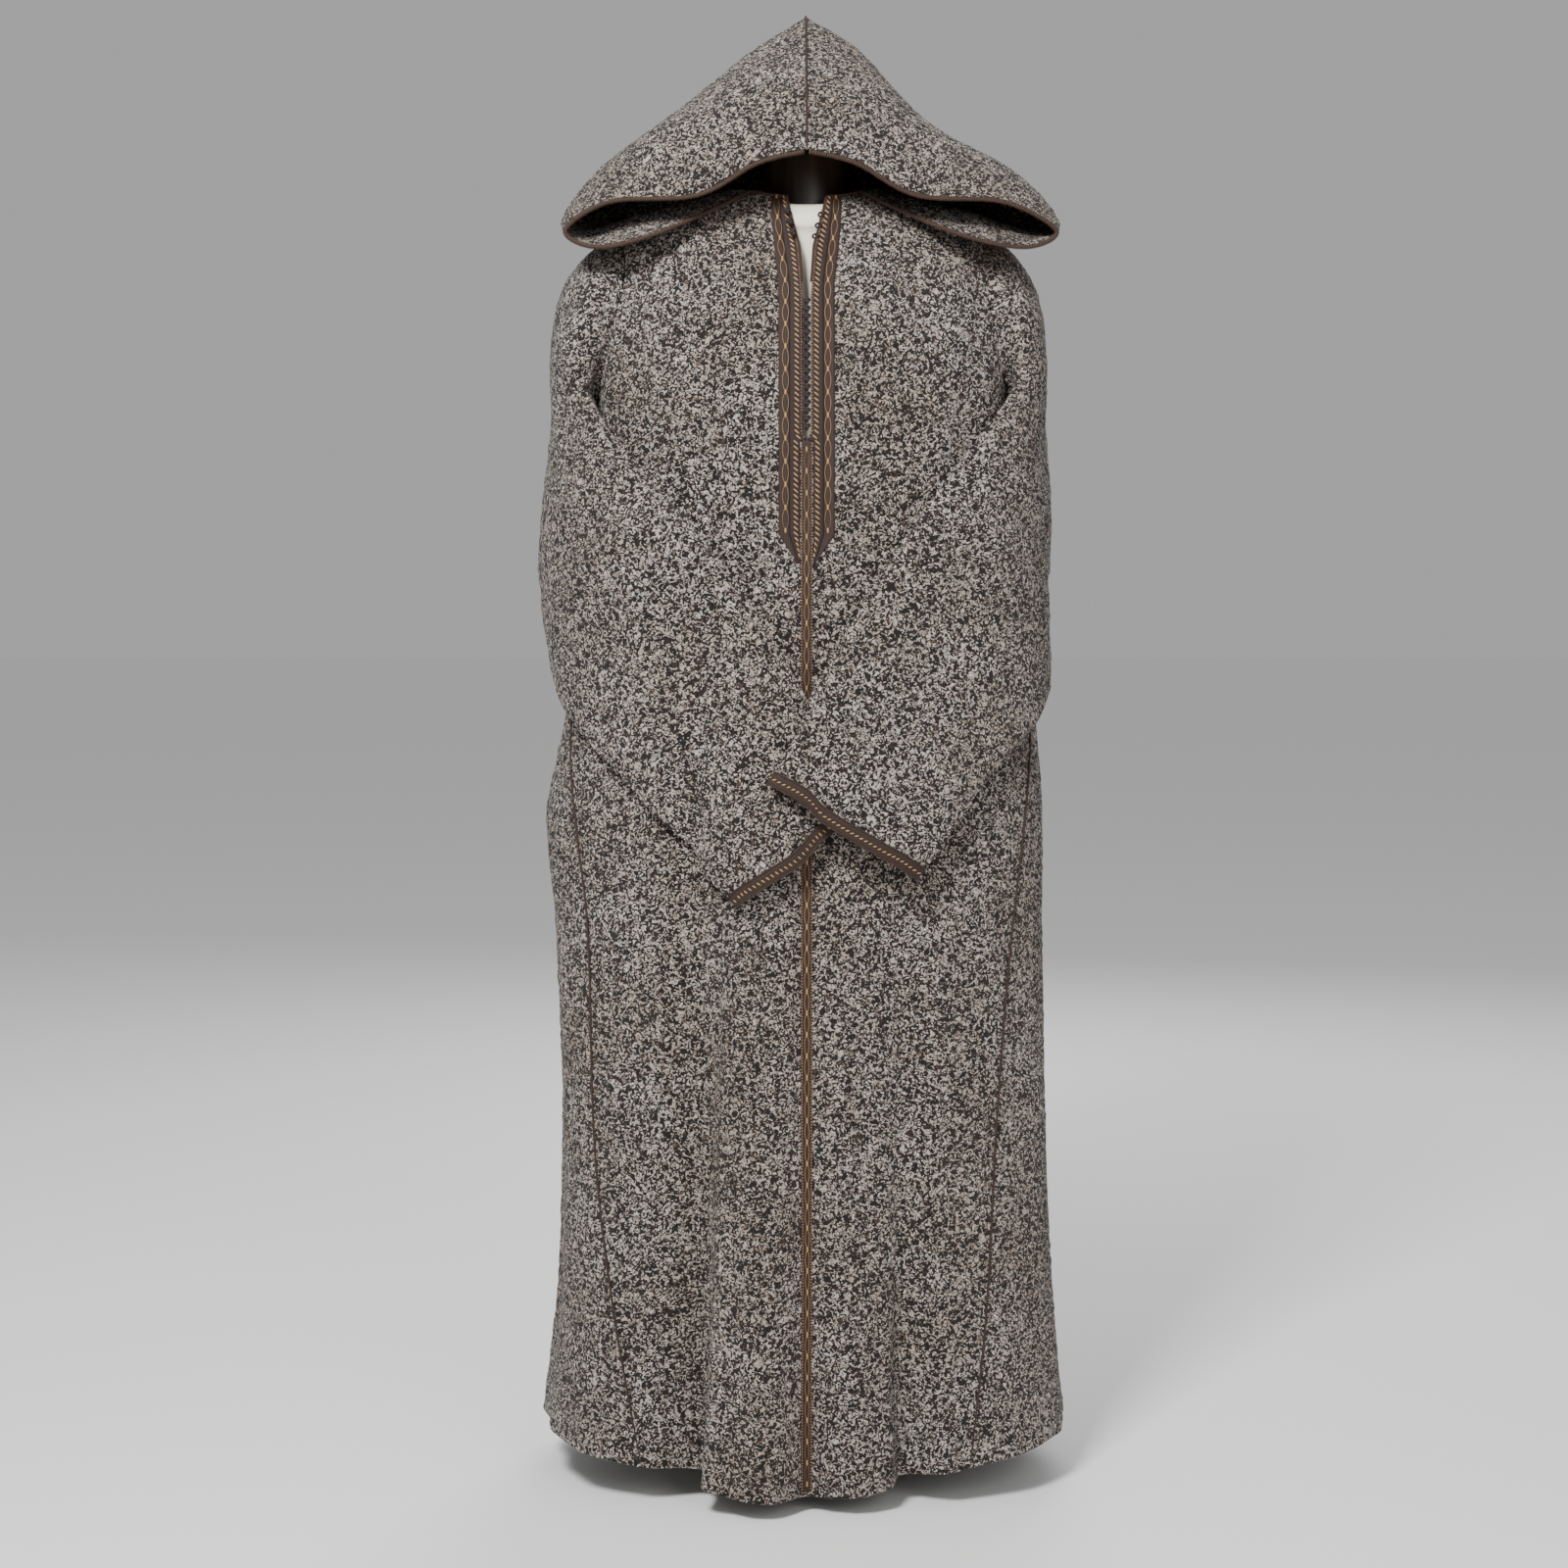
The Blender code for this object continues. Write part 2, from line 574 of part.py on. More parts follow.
def make_buttons():
    for number, z in enumerate(np.linspace(BUTTON_HIGHEST_Z, BUTTON_LOWEST_Z, BUTTON_COUNT), start=1):
        ball(f"button_{number:02d}", body_point(0.0, level_at(0.0, z), BUTTON_SINK))
    for number, z in enumerate(NECK_BUTTON_HEIGHTS, start=1):
        level = float(level_at(0.0, z))
        away = np.interp(z, SLIT_HEIGHTS, SLIT_HALF_WIDTHS) + NECK_BUTTON_FROM_EDGE
        angle = -math.atan2(away, -body_surface(0.0, level)[1])
        standoff = NECK_BRAID_LIFT + BRAID_THICKNESS + BUTTON_RADIUS + SEAM_GAP
        ball(f"neck_button_{number}", body_point(angle, level, standoff))


def hood_grid(side):
    """Outer grid of one half of the hood: rows from the rim back, columns from the neck up."""
    table = []
    for _name, neck_angle, places in HOOD:
        neck = body_point(side * math.radians(neck_angle), HOOD_NECK_LEVEL, HOOD_NECK_LIFT)
        table.append([(abs(neck[0]), neck[1], neck[2]), *places])
    table = np.array(table, float)
    if side > 0:
        table[:3, 2:4, 0] += HOOD_WIDER_LEFT
    else:
        table[1:4, 5, 0] += HOOD_FULLER_RIGHT
        table[1:4, 5, 2] += HOOD_FULLER_RIGHT
    rows = np.linspace(0, len(table) - 1, HOOD_ROW_STEPS * (len(table) - 1) + 1)
    grid = smooth_rows(table, rows)
    grid = np.moveaxis(grid, 1, 0)
    columns = np.linspace(0, len(grid) - 1, HOOD_COLUMN_STEPS * (len(grid) - 1) + 1)
    grid = np.moveaxis(smooth_rows(grid, columns), 0, 1)
    grid[..., 0] *= side
    return grid


def sheet_normals(grid):
    normal = np.cross(np.gradient(grid, axis=1), np.gradient(grid, axis=0))
    return normal / np.linalg.norm(normal, axis=-1, keepdims=True)


def keep_to_side(grid, side):
    """Holds the points half a seam gap away from the middle plane."""
    kept = grid.copy()
    kept[..., 0] = side * np.maximum(side * kept[..., 0], SEAM_GAP / 2)
    return kept


def make_hood():
    for side, name in ((-1, "right"), (1, "left")):
        grid = hood_grid(side)
        normals = sheet_normals(grid) * -side
        inward = grid - normals * CLOTH
        wall(f"hood_{name}", keep_to_side(grid, side), keep_to_side(inward, side), TWEED)
        rim = (grid[0] + inward[0]) / 2
        ahead = grid[0] - grid[1]
        ahead /= np.linalg.norm(ahead, axis=-1, keepdims=True)
        path = rim + ahead * (RIM_CORD_RADIUS + RIM_CORD_GAP)
        path[..., 0] = side * np.maximum(side * path[..., 0], RIM_CORD_RADIUS)
        cord(f"hood_cord_{name}", path, RIM_CORD_RADIUS, BRAID)


def cord(name, points, radius, look):
    """Round cord from point to point."""
    curve = bpy.data.curves.new(name, "CURVE")
    curve.dimensions = "3D"
    curve.bevel_depth = radius
    curve.bevel_resolution = 2
    curve.use_fill_caps = True
    spline = curve.splines.new("POLY")
    spline.points.add(len(points) - 1)
    for place, point in zip(spline.points, points):
        place.co = (*point, 1.0)
    curve.materials.append(material(name, look))
    made = bpy.data.objects.new(name, curve)
    bpy.context.scene.collection.objects.link(made)


def closed_rings(name, rings, look):
    """Solid through closed rings of points, with flat ends."""
    rings = np.array(rings)
    count = rings.shape[1]
    faces = []
    for row in range(len(rings) - 1):
        for column in range(count):
            after = (column + 1) % count
            a = row * count + column
            b = row * count + after
            faces += [(a, b, b + count), (a, b + count, a + count)]
    faces.append(tuple(range(count)))
    faces.append(tuple(range(len(rings) * count - count, len(rings) * count)))
    return solid(name, rings.reshape(-1, 3), faces, look)


def shoulder_angles(level):
    """Angles of every column of the panels at a level above the armholes, in rising order."""
    return np.concatenate([np.sort(-front_angles(-1, level)), front_angles(1, level), back_angles(level)])


def form_ring(z, half_width, front, back, angles, squareness=FORM_SQUARENESS):
    depth = np.where(np.cos(angles) > 0, front, back)
    across = np.abs(np.sin(angles) / half_width) ** squareness
    along = np.abs(np.cos(angles) / depth) ** squareness
    radius = (across + along) ** (-1 / squareness)
    return np.stack([radius * np.sin(angles), -radius * np.cos(angles), np.full(len(angles), z)], axis=-1)


def neck_ring(angles, lift):
    """Ring round the foot of the neck, lower at the front than at the back."""
    middle = (NECK_FRONT_Z + NECK_BACK_Z) / 2 + lift
    z = middle - np.cos(angles) * (NECK_BACK_Z - NECK_FRONT_Z) / 2
    return np.stack([NECK_RADIUS * np.sin(angles), -NECK_RADIUS * np.cos(angles), z], axis=-1)


def make_form():
    """Limbless form: its shoulders carry the robe, and below them it stays clear of the cloth."""
    angles = shoulder_angles(SHOULDER_LEVEL)
    rings = [form_ring(*row, angles) for row in FORM_BUST]
    for level in (SHOULDER_LEVEL, *YOKE_LEVELS[:-1]):
        row = shoulder_angles(level)
        gap = FORM_SHOULDER_GAP if level == SHOULDER_LEVEL else FORM_GAP
        rings.append(body_point(row, np.full(len(row), level), -CLOTH - gap))
    rings.append(neck_ring(angles, 0.0))
    closed_rings("dress_form", rings, JERSEY)
    angles = np.arange(NECK_CAP_COLUMNS) / NECK_CAP_COLUMNS * 2 * math.pi
    rings = [neck_ring(angles, SEAM_GAP)]
    for z, radius in NECK_CAP_RINGS:
        rings.append(form_ring(z, radius, radius, radius, angles, 2.0))
    closed_rings("neck_cap", rings, DARK_WOOD)


def place_turned(name, z, look, bevel):
    """Names the turned piece just added, lifts it to its height and rounds its ends."""
    made = bpy.context.object
    made.name = name
    made.location = (0.0, 0.0, z)
    made.data.materials.append(material(name, look))
    made.data.shade_smooth()
    made.data.set_sharp_from_angle(angle=math.radians(40))
    rounding = made.modifiers.new("rounding", "BEVEL")
    rounding.width = bevel
    rounding.segments = 2
    rounding.limit_method = "ANGLE"


def make_stand():
    bottom = FORM_BUST[0][0]
    length = bottom - BASE_THICKNESS - 2 * SEAM_GAP
    bpy.ops.mesh.primitive_cylinder_add(vertices=16, radius=POLE_RADIUS, depth=length)
    place_turned("pole", BASE_THICKNESS + SEAM_GAP + length / 2, STEEL, POLE_ROUNDING)
    bpy.ops.mesh.primitive_cylinder_add(vertices=40, radius=BASE_RADIUS, depth=BASE_THICKNESS)
    place_turned("base_plate", BASE_THICKNESS / 2, STEEL, BASE_ROUNDING)


def main():
    for old in list(bpy.data.objects):
        bpy.data.objects.remove(old)
    levels = panel_levels()
    make_fronts(levels)
    make_gores(levels)
    make_back(levels)
    make_sleeves()
    make_hood()
    make_placket(levels)
    make_buttons()
    make_form()
    make_stand()


main()
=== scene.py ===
"""A hooded tweed djellaba on a limbless dress form, dressed over its solids.

Metres, +Z up, the robe's front toward -Y. Right and left are the wearer's: right is -X.
"""

import math

import bpy
import numpy as np
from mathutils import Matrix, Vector


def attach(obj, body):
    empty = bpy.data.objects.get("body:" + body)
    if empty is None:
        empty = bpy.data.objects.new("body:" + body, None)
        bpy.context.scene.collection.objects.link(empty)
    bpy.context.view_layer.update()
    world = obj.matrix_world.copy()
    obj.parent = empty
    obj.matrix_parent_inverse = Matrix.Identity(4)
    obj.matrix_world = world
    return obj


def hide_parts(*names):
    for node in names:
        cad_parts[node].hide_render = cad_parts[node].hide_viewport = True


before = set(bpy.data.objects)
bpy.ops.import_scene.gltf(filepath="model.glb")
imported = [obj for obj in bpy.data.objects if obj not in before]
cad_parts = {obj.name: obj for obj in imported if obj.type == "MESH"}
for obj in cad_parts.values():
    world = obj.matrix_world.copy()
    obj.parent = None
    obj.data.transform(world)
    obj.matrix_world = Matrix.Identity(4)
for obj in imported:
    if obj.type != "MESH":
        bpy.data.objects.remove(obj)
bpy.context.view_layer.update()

# Cloth, braid and seams. A sewn cord has its radius and its lift off the cloth
CLOTH = 0.0025
SEAM_GAP = 0.0003
MESH_STEP = 0.0065
NUB = 0.00045
CALM_NUB = 0.15
BRAID_THICKNESS = 0.0012
RIM_CORD_RADIUS = 0.002
RIM_CORD_GAP = 0.0004
HOOD_SEAM_CORD = (0.0013, 0.0008)
NECK_CORD = (0.0016, 0.0006)
SEAM_CORD = (0.0014, 0.0010)
SIDES = ((-1, "right"), (1, "left"))

# Robe's sections from hem to neck: name, front z, side z, back z, right and left half widths,
# front and back depths, squareness
BODY = (
    ("hem", 0.019, 0.060, 0.036, 0.296, 0.295, 0.176, 0.192, 2.3),
    ("shin", 0.195, 0.215, 0.205, 0.279, 0.280, 0.167, 0.183, 2.3),
    ("knee", 0.400, 0.405, 0.402, 0.274, 0.269, 0.159, 0.172, 2.3),
    ("thigh", 0.600, 0.600, 0.600, 0.279, 0.264, 0.151, 0.160, 2.3),
    ("hip", 0.720, 0.720, 0.720, 0.285, 0.263, 0.146, 0.152, 2.3),
    ("waist", 0.860, 0.860, 0.860, 0.260, 0.250, 0.138, 0.140, 2.3),
    ("ribs", 1.000, 1.000, 1.000, 0.240, 0.232, 0.134, 0.134, 2.4),
    ("chest", 1.150, 1.150, 1.150, 0.230, 0.222, 0.130, 0.130, 2.6),
    ("armpit", 1.230, 1.230, 1.230, 0.230, 0.222, 0.124, 0.126, 2.6),
    ("shoulder edge", 1.310, 1.310, 1.315, 0.226, 0.218, 0.105, 0.112, 2.5),
    ("shoulder", 1.352, 1.360, 1.365, 0.203, 0.198, 0.088, 0.092, 2.3),
    ("yoke", 1.378, 1.392, 1.400, 0.135, 0.132, 0.078, 0.080, 2.1),
    ("neck", 1.394, 1.408, 1.425, 0.080, 0.078, 0.072, 0.066, 2.0),
)
UNDERARM_LEVEL = 7.25
SHOULDER_LEVEL = 10.0
NECK_LEVEL = 12.0

# Hanging folds: name, angle, half width in degrees, depth at the hem, height where it dies out
FOLDS = (
    ("right lobe", -15, 21, 0.031, 1.00),
    ("right lobe edge", -30, 8, 0.013, 0.95),
    ("braid dip", -1, 9, -0.012, 0.80),
    ("left lobe", 17, 15, 0.012, 0.80),
    ("right valley", -41, 10, -0.036, 1.05),
    ("left valley", 36, 9, -0.030, 0.75),
    ("right side ridge", -62, 12, 0.010, 0.85),
    ("left side ridge", 60, 14, 0.006, 0.85),
    ("right side dip", -84, 10, -0.008, 0.70),
    ("left side dip", 84, 10, -0.007, 0.70),
    ("back right ridge", -112, 13, 0.010, 0.90),
    ("back right valley", -134, 11, -0.022, 0.95),
    ("back right lobe", -157, 13, 0.016, 1.05),
    ("back centre valley", 178, 9, -0.016, 0.85),
    ("back left lobe", 157, 12, 0.020, 1.00),
    ("back left valley", 136, 10, -0.020, 0.90),
    ("back left ridge", 114, 12, 0.008, 0.85),
)
FOLD_GROWTH = 1.25

# Seams between the panels in degrees, one row for each section: front right, front left, back
SEAMS = (
    (49.5, 49.0, 122.0),
    (58.0, 55.0, 116.0),
    (65.0, 60.0, 110.0),
    (67.5, 66.0, 103.0),
    (71.0, 71.5, 97.0),
    (80.0, 80.0, 96.0),
    (82.0, 82.0, 97.0),
    (82.0, 82.0, 98.0),
    (82.0, 82.0, 98.0),
)
ARMHOLE_MIDDLE_LEVEL = 8.70
ARMHOLE_FRONT = 19.0
ARMHOLE_BACK = 21.0
ARMHOLE_BELOW = 1.6

# Slit and placket: distances from the front centre, against height
SLIT_HEIGHTS = (0.0, 1.136, 1.143, 1.286, 1.340, 1.394)
SLIT_HALF_WIDTHS = (0.00015, 0.00015, 0.0045, 0.0045, 0.0085, 0.0225)
PLACKET_HEIGHTS = (0.0, 1.006, 1.036, 1.300, 1.394)
PLACKET_INNER = (0.0082, 0.0082, 0.018, 0.018, 0.030)
PLACKET_OUTER = (0.0092, 0.0092, 0.030, 0.030, 0.041)
PLACKET_BOTTOM_Z = 1.006
PLACKET_STITCHES_Z = 1.040
CENTRE_BRAID_HALF_WIDTH = 0.0065
CENTRE_BRAID_TOP_Z = 1.134
CENTRE_BRAID_LOW_Z = 0.024
PLACKET_TOP_Z = 1.397
CENTRE_CALM_WIDTH = 0.010
PLAIN_STRIP = 0.0022
SCALLOP = 0.0009
SCALLOP_PITCH = 0.0040

# Gold stitches of the placket, and the gaps they keep from its ends
STRIP_STEP = 0.0013
STRAND_STEP = 0.0016
CHAIN_PITCH = 0.0226
CHAIN_SHARE = 0.35
CHAIN_SWING = 0.0032
CENTRE_CHAIN_SWING = 0.0026
STRAND_RADIUS = 0.00038
DASH_LENGTH = 0.0060
DASH_LIFT = 0.0017
DASH_RADIUS = 0.0011
SLANT_LOWEST_Z = 1.014
SLANT_PITCH = 0.0056
SLANT_RISE = -0.0047
SLANT_SHARE = 0.62
SLANT_SHORTEST = 0.001
SLANT_LIFT = 0.0014
SLANT_RADIUS = 0.0008
DOT_PITCH = 0.0031
DOT_LENGTH = 0.0017
DOT_LIFT = 0.0012
DOT_INSET = 0.0012
DOT_RADIUS = 0.0006
PLACKET_END_GAP = 0.004
CENTRE_END_GAP = 0.008
STITCH_FLATNESS = 0.8
STITCH_BULGE = 0.0003
WHIP_PITCH = 0.0026
RIM_STITCH_REACH = 0.0030
RIM_STITCH_CLEAR = 0.0003
RIM_STITCH_RADIUS = 0.0007
NECK_STITCH_RUN = 0.0012
NECK_STITCH_CLEAR = 0.0002
NECK_STITCH_RADIUS = 0.00055
FINE_LEVELS = 2400

# Side slit in the right gore's back seam
SIDE_SLIT_Z = 0.740
SIDE_SLIT_HALF = 0.075
SIDE_SLIT_GAPE = 0.007

# Buttons, loops and the cord round the neck
BUTTON_COUNT = 17
BUTTON_RADIUS = 0.0041
BUTTON_LOWEST_Z = 1.1490
BUTTON_HIGHEST_Z = 1.2800
NECK_BUTTON_HEIGHTS = (1.352, 1.364, 1.376)
NECK_BUTTON_INSET = 0.003
LOOP_HEIGHTS = (1.350, 1.362, 1.374)
LOOP_RADIUS = 0.0012
LOOP_LIFT = 0.0022
LOOP_SWING = 0.0022
LOOP_REACH = 0.0075
LOOP_POINTS = 17
NECK_CORD_LOW_Z = 1.300
NECK_CORD_TOP_Z = 1.3995
NECK_CORD_STEP = 0.0014
NECK_CORD_INSET = 0.0004
NECK_CORD_END_DEGREES = 52

# Sleeves: angles toward the own side and heights of the two folds, clearance below, thickness
RIGHT_SLEEVE = (
    ("upper arm", 72, 1.190, 121, 1.105, 0.0050, 0.046),
    ("above elbow", 57, 1.105, 117, 0.992, 0.0050, 0.049),
    ("elbow", 39, 1.030, 98, 0.946, 0.0050, 0.045),
    ("below elbow", 23, 0.965, 83, 0.868, 0.0050, 0.023),
    ("forearm", 6, 0.888, 64, 0.798, 0.0050, 0.019),
    ("wrist", -11, 0.820, 46, 0.720, 0.0060, 0.017),
    ("cuff", -25, 0.756, 25, 0.645, 0.0060, 0.017),
)
LEFT_SLEEVE = (
    ("upper arm", 72, 1.200, 121, 1.105, 0.0050, 0.038),
    ("above elbow", 56, 1.122, 117, 0.992, 0.0050, 0.036),
    ("elbow", 43, 1.055, 96, 0.962, 0.0060, 0.029),
    ("below elbow", 30, 0.995, 83, 0.868, 0.0070, 0.022),
    ("forearm", 16, 0.930, 62, 0.792, 0.0130, 0.019),
    ("wrist", 1, 0.866, 47, 0.720, 0.0260, 0.017),
    ("cuff", -15, 0.774, 38.5, 0.676, 0.0275, 0.017),
)
SLEEVES = ((-1, "right", RIGHT_SLEEVE), (1, "left", LEFT_SLEEVE))
CAP_RISE = 4.0
RING_SQUARENESS = 2.2
SLEEVE_HALF_STEPS = 40
SLEEVE_ROWS_A_STATION = 14
CAP_ROWS = 22
CUFF_CALM_ROWS = 4
CUFF_BRAID_WIDTH = 0.0145
CUFF_CHART_DEPTH = 0.030
CUFF_CHART_STEP = 0.0015
CUFF_CHART_ROWS = 12
CUFF_ROUND_STEP = 0.0014
CUFF_STITCH_PITCH = 0.0055
CUFF_STITCH_LENGTH = 0.0050
CUFF_STITCH_RADIUS = 0.00075
CUFF_CORD_RADIUS = 0.0010
CUFF_STROKE_LEAN = {-1: math.radians(75), 1: math.radians(35)}

# Hood: angle of the neckline, then shoulder, outer edge, upper side and centre seam
HOOD = (
    ("rim", 50, (
        (0.155, -0.104, 1.353), (0.222, -0.100, 1.338), (0.256, -0.095, 1.357), (0.208, -0.104, 1.387),
        (0.116, -0.119, 1.392), (0.052, -0.128, 1.424), (0.000, -0.131, 1.436),
    )),
    ("brow", 72, (
        (0.165, -0.055, 1.378), (0.229, -0.053, 1.358), (0.262, -0.048, 1.371), (0.226, -0.058, 1.409),
        (0.134, -0.078, 1.446), (0.066, -0.087, 1.492), (0.000, -0.092, 1.512),
    )),
    ("crown", 95, (
        (0.160, -0.010, 1.390), (0.226, -0.004, 1.369), (0.256, 0.002, 1.383), (0.222, -0.006, 1.427),
        (0.127, -0.018, 1.479), (0.062, -0.028, 1.545), (0.000, -0.034, 1.568),
    )),
    ("apex", 120, (
        (0.140, 0.040, 1.393), (0.197, 0.050, 1.377), (0.222, 0.058, 1.391), (0.196, 0.052, 1.431),
        (0.112, 0.040, 1.486), (0.058, 0.030, 1.562), (0.000, 0.022, 1.600),
    )),
    ("nape", 150, (
        (0.095, 0.092, 1.384), (0.130, 0.108, 1.374), (0.148, 0.119, 1.388), (0.134, 0.125, 1.422),
        (0.090, 0.122, 1.464), (0.050, 0.110, 1.516), (0.000, 0.102, 1.545),
    )),
    ("back", 180, (
        (0.000, 0.109, 1.384), (0.000, 0.138, 1.381), (0.000, 0.158, 1.394), (0.000, 0.168, 1.421),
        (0.000, 0.168, 1.450), (0.000, 0.160, 1.477), (0.000, 0.149, 1.498),
    )),
)
HOOD_NECK_LEVEL = 11.92
HOOD_NECK_LIFT = 0.0013
HOOD_WIDER_LEFT = 0.009
HOOD_FULLER_RIGHT = 0.010
HOOD_SLOPE_LIFT = 0.006
HOOD_ROWS = 66
HOOD_COLUMNS = 66

# Dress form below the shoulders: height, half width, front and back depths. Then its neck, and the
# neck cap's heights and radii
FORM_BUST = (
    (0.720, 0.150, 0.105, 0.110),
    (0.860, 0.140, 0.095, 0.100),
    (1.000, 0.155, 0.103, 0.105),
    (1.120, 0.172, 0.112, 0.112),
    (1.200, 0.178, 0.106, 0.108),
    (1.280, 0.178, 0.088, 0.094),
)
NECK_RADIUS = 0.047
NECK_FRONT_Z = 1.390
NECK_BACK_Z = 1.415
NECK_CAP = ((1.436, 0.046), (1.446, 0.045), (1.452, 0.041), (1.455, 0.034))
FORM_SQUARENESS = 2.2
FORM_GAP = 0.0008
FORM_SHOULDER_GAP = 0.011
FORM_COLUMNS = 96

# Camera, from the photograph: a pixel is one of its 1600
PHOTO_SIZE = 1600
FOCAL_PIXELS = 2730
ROBE_AXIS_PIXEL = 822
CAMERA_DISTANCE = 2.95
CAMERA_HEIGHT = 0.97
CAMERA_TILT_DEGREES = 3.98

# Lights: name, place, what they point at, size, watts. Then the world's light and the floor
LIGHTS = (
    ("key light", (-0.9, -2.3, 2.9), (0, 0, 1.1), 0.7, 135),
    ("fill light", (1.3, -3.0, 1.9), (0, 0, 1.0), 1.4, 22),
    ("back light", (0.6, 2.8, 2.6), (0, 0, 1.0), 1.8, 60),
)
WORLD_STRENGTH = 0.42
FLOOR_SIZE = 80.0

rng = np.random.default_rng(7)


def smooth_rows(rows, level):
    """Rows of a table read at fractional levels along a smooth curve through them."""
    rows = np.asarray(rows, float)
    level = np.asarray(level, float)
    first = np.clip(np.floor(level).astype(int), 0, len(rows) - 2)
    part = (level - first).reshape(level.shape + (1,) * (rows.ndim - 1))
    before = rows[np.maximum(first - 1, 0)]
    start = rows[first]
    end = rows[first + 1]
    after = rows[np.minimum(first + 2, len(rows) - 1)]
    linear = (end - before) * part
    square = (2 * before - 5 * start + 4 * end - after) * part**2
    cube = (3 * (start - end) + after - before) * part**3
    return start + 0.5 * (linear + square + cube)


def unit(vectors):
    return vectors / np.maximum(np.linalg.norm(vectors, axis=-1, keepdims=True), 1e-12)


def lengths_along(points):
    """Length from the first point to each point of a path."""
    return np.concatenate([[0.0], np.cumsum(np.linalg.norm(np.diff(points, axis=0), axis=-1))])


def at_even_pitch(values, length, pitch):
    """Values read at an even pitch along a length."""
    count = max(int(length[-1] / pitch), 1)
    return np.interp(np.linspace(0, length[-1], count + 1), length, values)


def body_surface(angle, level):
    """Point of the robe's outer surface, without its slit."""
    angle, level = np.broadcast_arrays(np.asarray(angle, float), np.asarray(level, float))
    sizes = smooth_rows([row[1:] for row in BODY], level)
    front_z, side_z, back_z, right, left, front, back, squareness = np.moveaxis(sizes, -1, 0)
    sine = np.sin(angle)
    cosine = np.cos(angle)
    across = np.abs(sine / np.where(sine > 0, left, right))
    along = np.abs(cosine / np.where(cosine > 0, front, back))
    radius = (across**squareness + along**squareness) ** (-1 / squareness)
    z = side_z + (np.where(cosine > 0, front_z, back_z) - side_z) * cosine**2
    for _name, middle, half_width, depth, top_z in FOLDS:
        turn = (angle - math.radians(middle) + math.pi) % (2 * math.pi) - math.pi
        wave = np.cos(np.clip(turn / math.radians(half_width), -1, 1) * math.pi / 2) ** 2
        growth = np.clip((top_z - z) / top_z, 0, 1) ** FOLD_GROWTH
        radius = radius + depth * wave * growth
    return np.stack([radius * sine, -radius * cosine, z], axis=-1)


def body_frame(angle, level):
    """Point of the robe's outer surface and its outward normal."""
    step = 1e-3
    level = np.asarray(level, float)
    around = body_surface(angle + step, level) - body_surface(angle - step, level)
    upward = body_surface(angle, level + step) - body_surface(angle, level - step)
    return body_surface(angle, level), unit(np.cross(around, upward))


def body_point(angle, level, offset=0.0):
    point, normal = body_frame(angle, level)
    return point + normal * np.asarray(offset, float)[..., None]


def level_at(angle, z):
    """Level of the sections where the robe's surface has this height."""
    low = np.full(np.shape(z), -0.5)
    high = np.full(np.shape(z), NECK_LEVEL)
    for _ in range(30):
        middle = (low + high) / 2
        above = body_surface(angle, middle)[..., 2] > z
        high = np.where(above, middle, high)
        low = np.where(above, low, middle)
    return (low + high) / 2


def armhole_angle(level, reach):
    above = SHOULDER_LEVEL - ARMHOLE_MIDDLE_LEVEL
    half = np.where(level > ARMHOLE_MIDDLE_LEVEL, above, ARMHOLE_BELOW)
    share = np.clip((level - ARMHOLE_MIDDLE_LEVEL) / half, -1, 1)
    return reach * np.sqrt(1 - share**2)


def panel_edge(column, level, reach):
    """Angle of a panel's outer edge at each level, toward its own side, in radians."""
    seam = smooth_rows(SEAMS, np.minimum(level, UNDERARM_LEVEL))[..., column]
    sign = -1 if reach == ARMHOLE_FRONT else 1
    return np.radians(np.where(level > UNDERARM_LEVEL, 90.0 + sign * armhole_angle(level, reach), seam))


def front_edge(side, level):
    return panel_edge(1 if side > 0 else 0, level, ARMHOLE_FRONT)


def back_edge(level):
    return panel_edge(2, level, ARMHOLE_BACK)


def gap_angle(angle, level):
    """Half the seam gap as an angle."""
    step = 1e-3
    run = body_surface(angle + step, level) - body_surface(angle, level)
    return SEAM_GAP / 2 * step / np.linalg.norm(run, axis=-1)


def level_rows(lowest, highest):
    """Levels from one to the other, about a mesh step apart."""
    fine = np.linspace(lowest, highest, 400)
    return at_even_pitch(fine, lengths_along(body_surface(0.9, fine)), MESH_STEP)


def inner_braid_edge(z):
    return np.interp(z, PLACKET_HEIGHTS, PLACKET_INNER)


def outer_braid_edge(z):
    return np.interp(z, PLACKET_HEIGHTS, PLACKET_OUTER)


def slit_distance(z):
    return np.interp(z, SLIT_HEIGHTS, SLIT_HALF_WIDTHS)


def centre_angle(distance, level):
    """Angle at a sideways distance from the front centre."""
    return np.arctan2(distance, -body_surface(0.0, level)[..., 1])


# Cloth meshes


def select_only(piece):
    bpy.ops.object.select_all(action="DESELECT")
    piece.select_set(True)
    bpy.context.view_layer.objects.active = piece


def in_edit_mode(piece, *steps):
    """Runs edit mode steps on all of a piece."""
    select_only(piece)
    bpy.ops.object.mode_set(mode="EDIT")
    bpy.ops.mesh.select_all(action="SELECT")
    for step in steps:
        step()
    bpy.ops.object.mode_set(mode="OBJECT")


def merge_doubles():
    bpy.ops.mesh.remove_doubles(threshold=0.00002)


def faces_outward():
    bpy.ops.mesh.normals_make_consistent(inside=False)


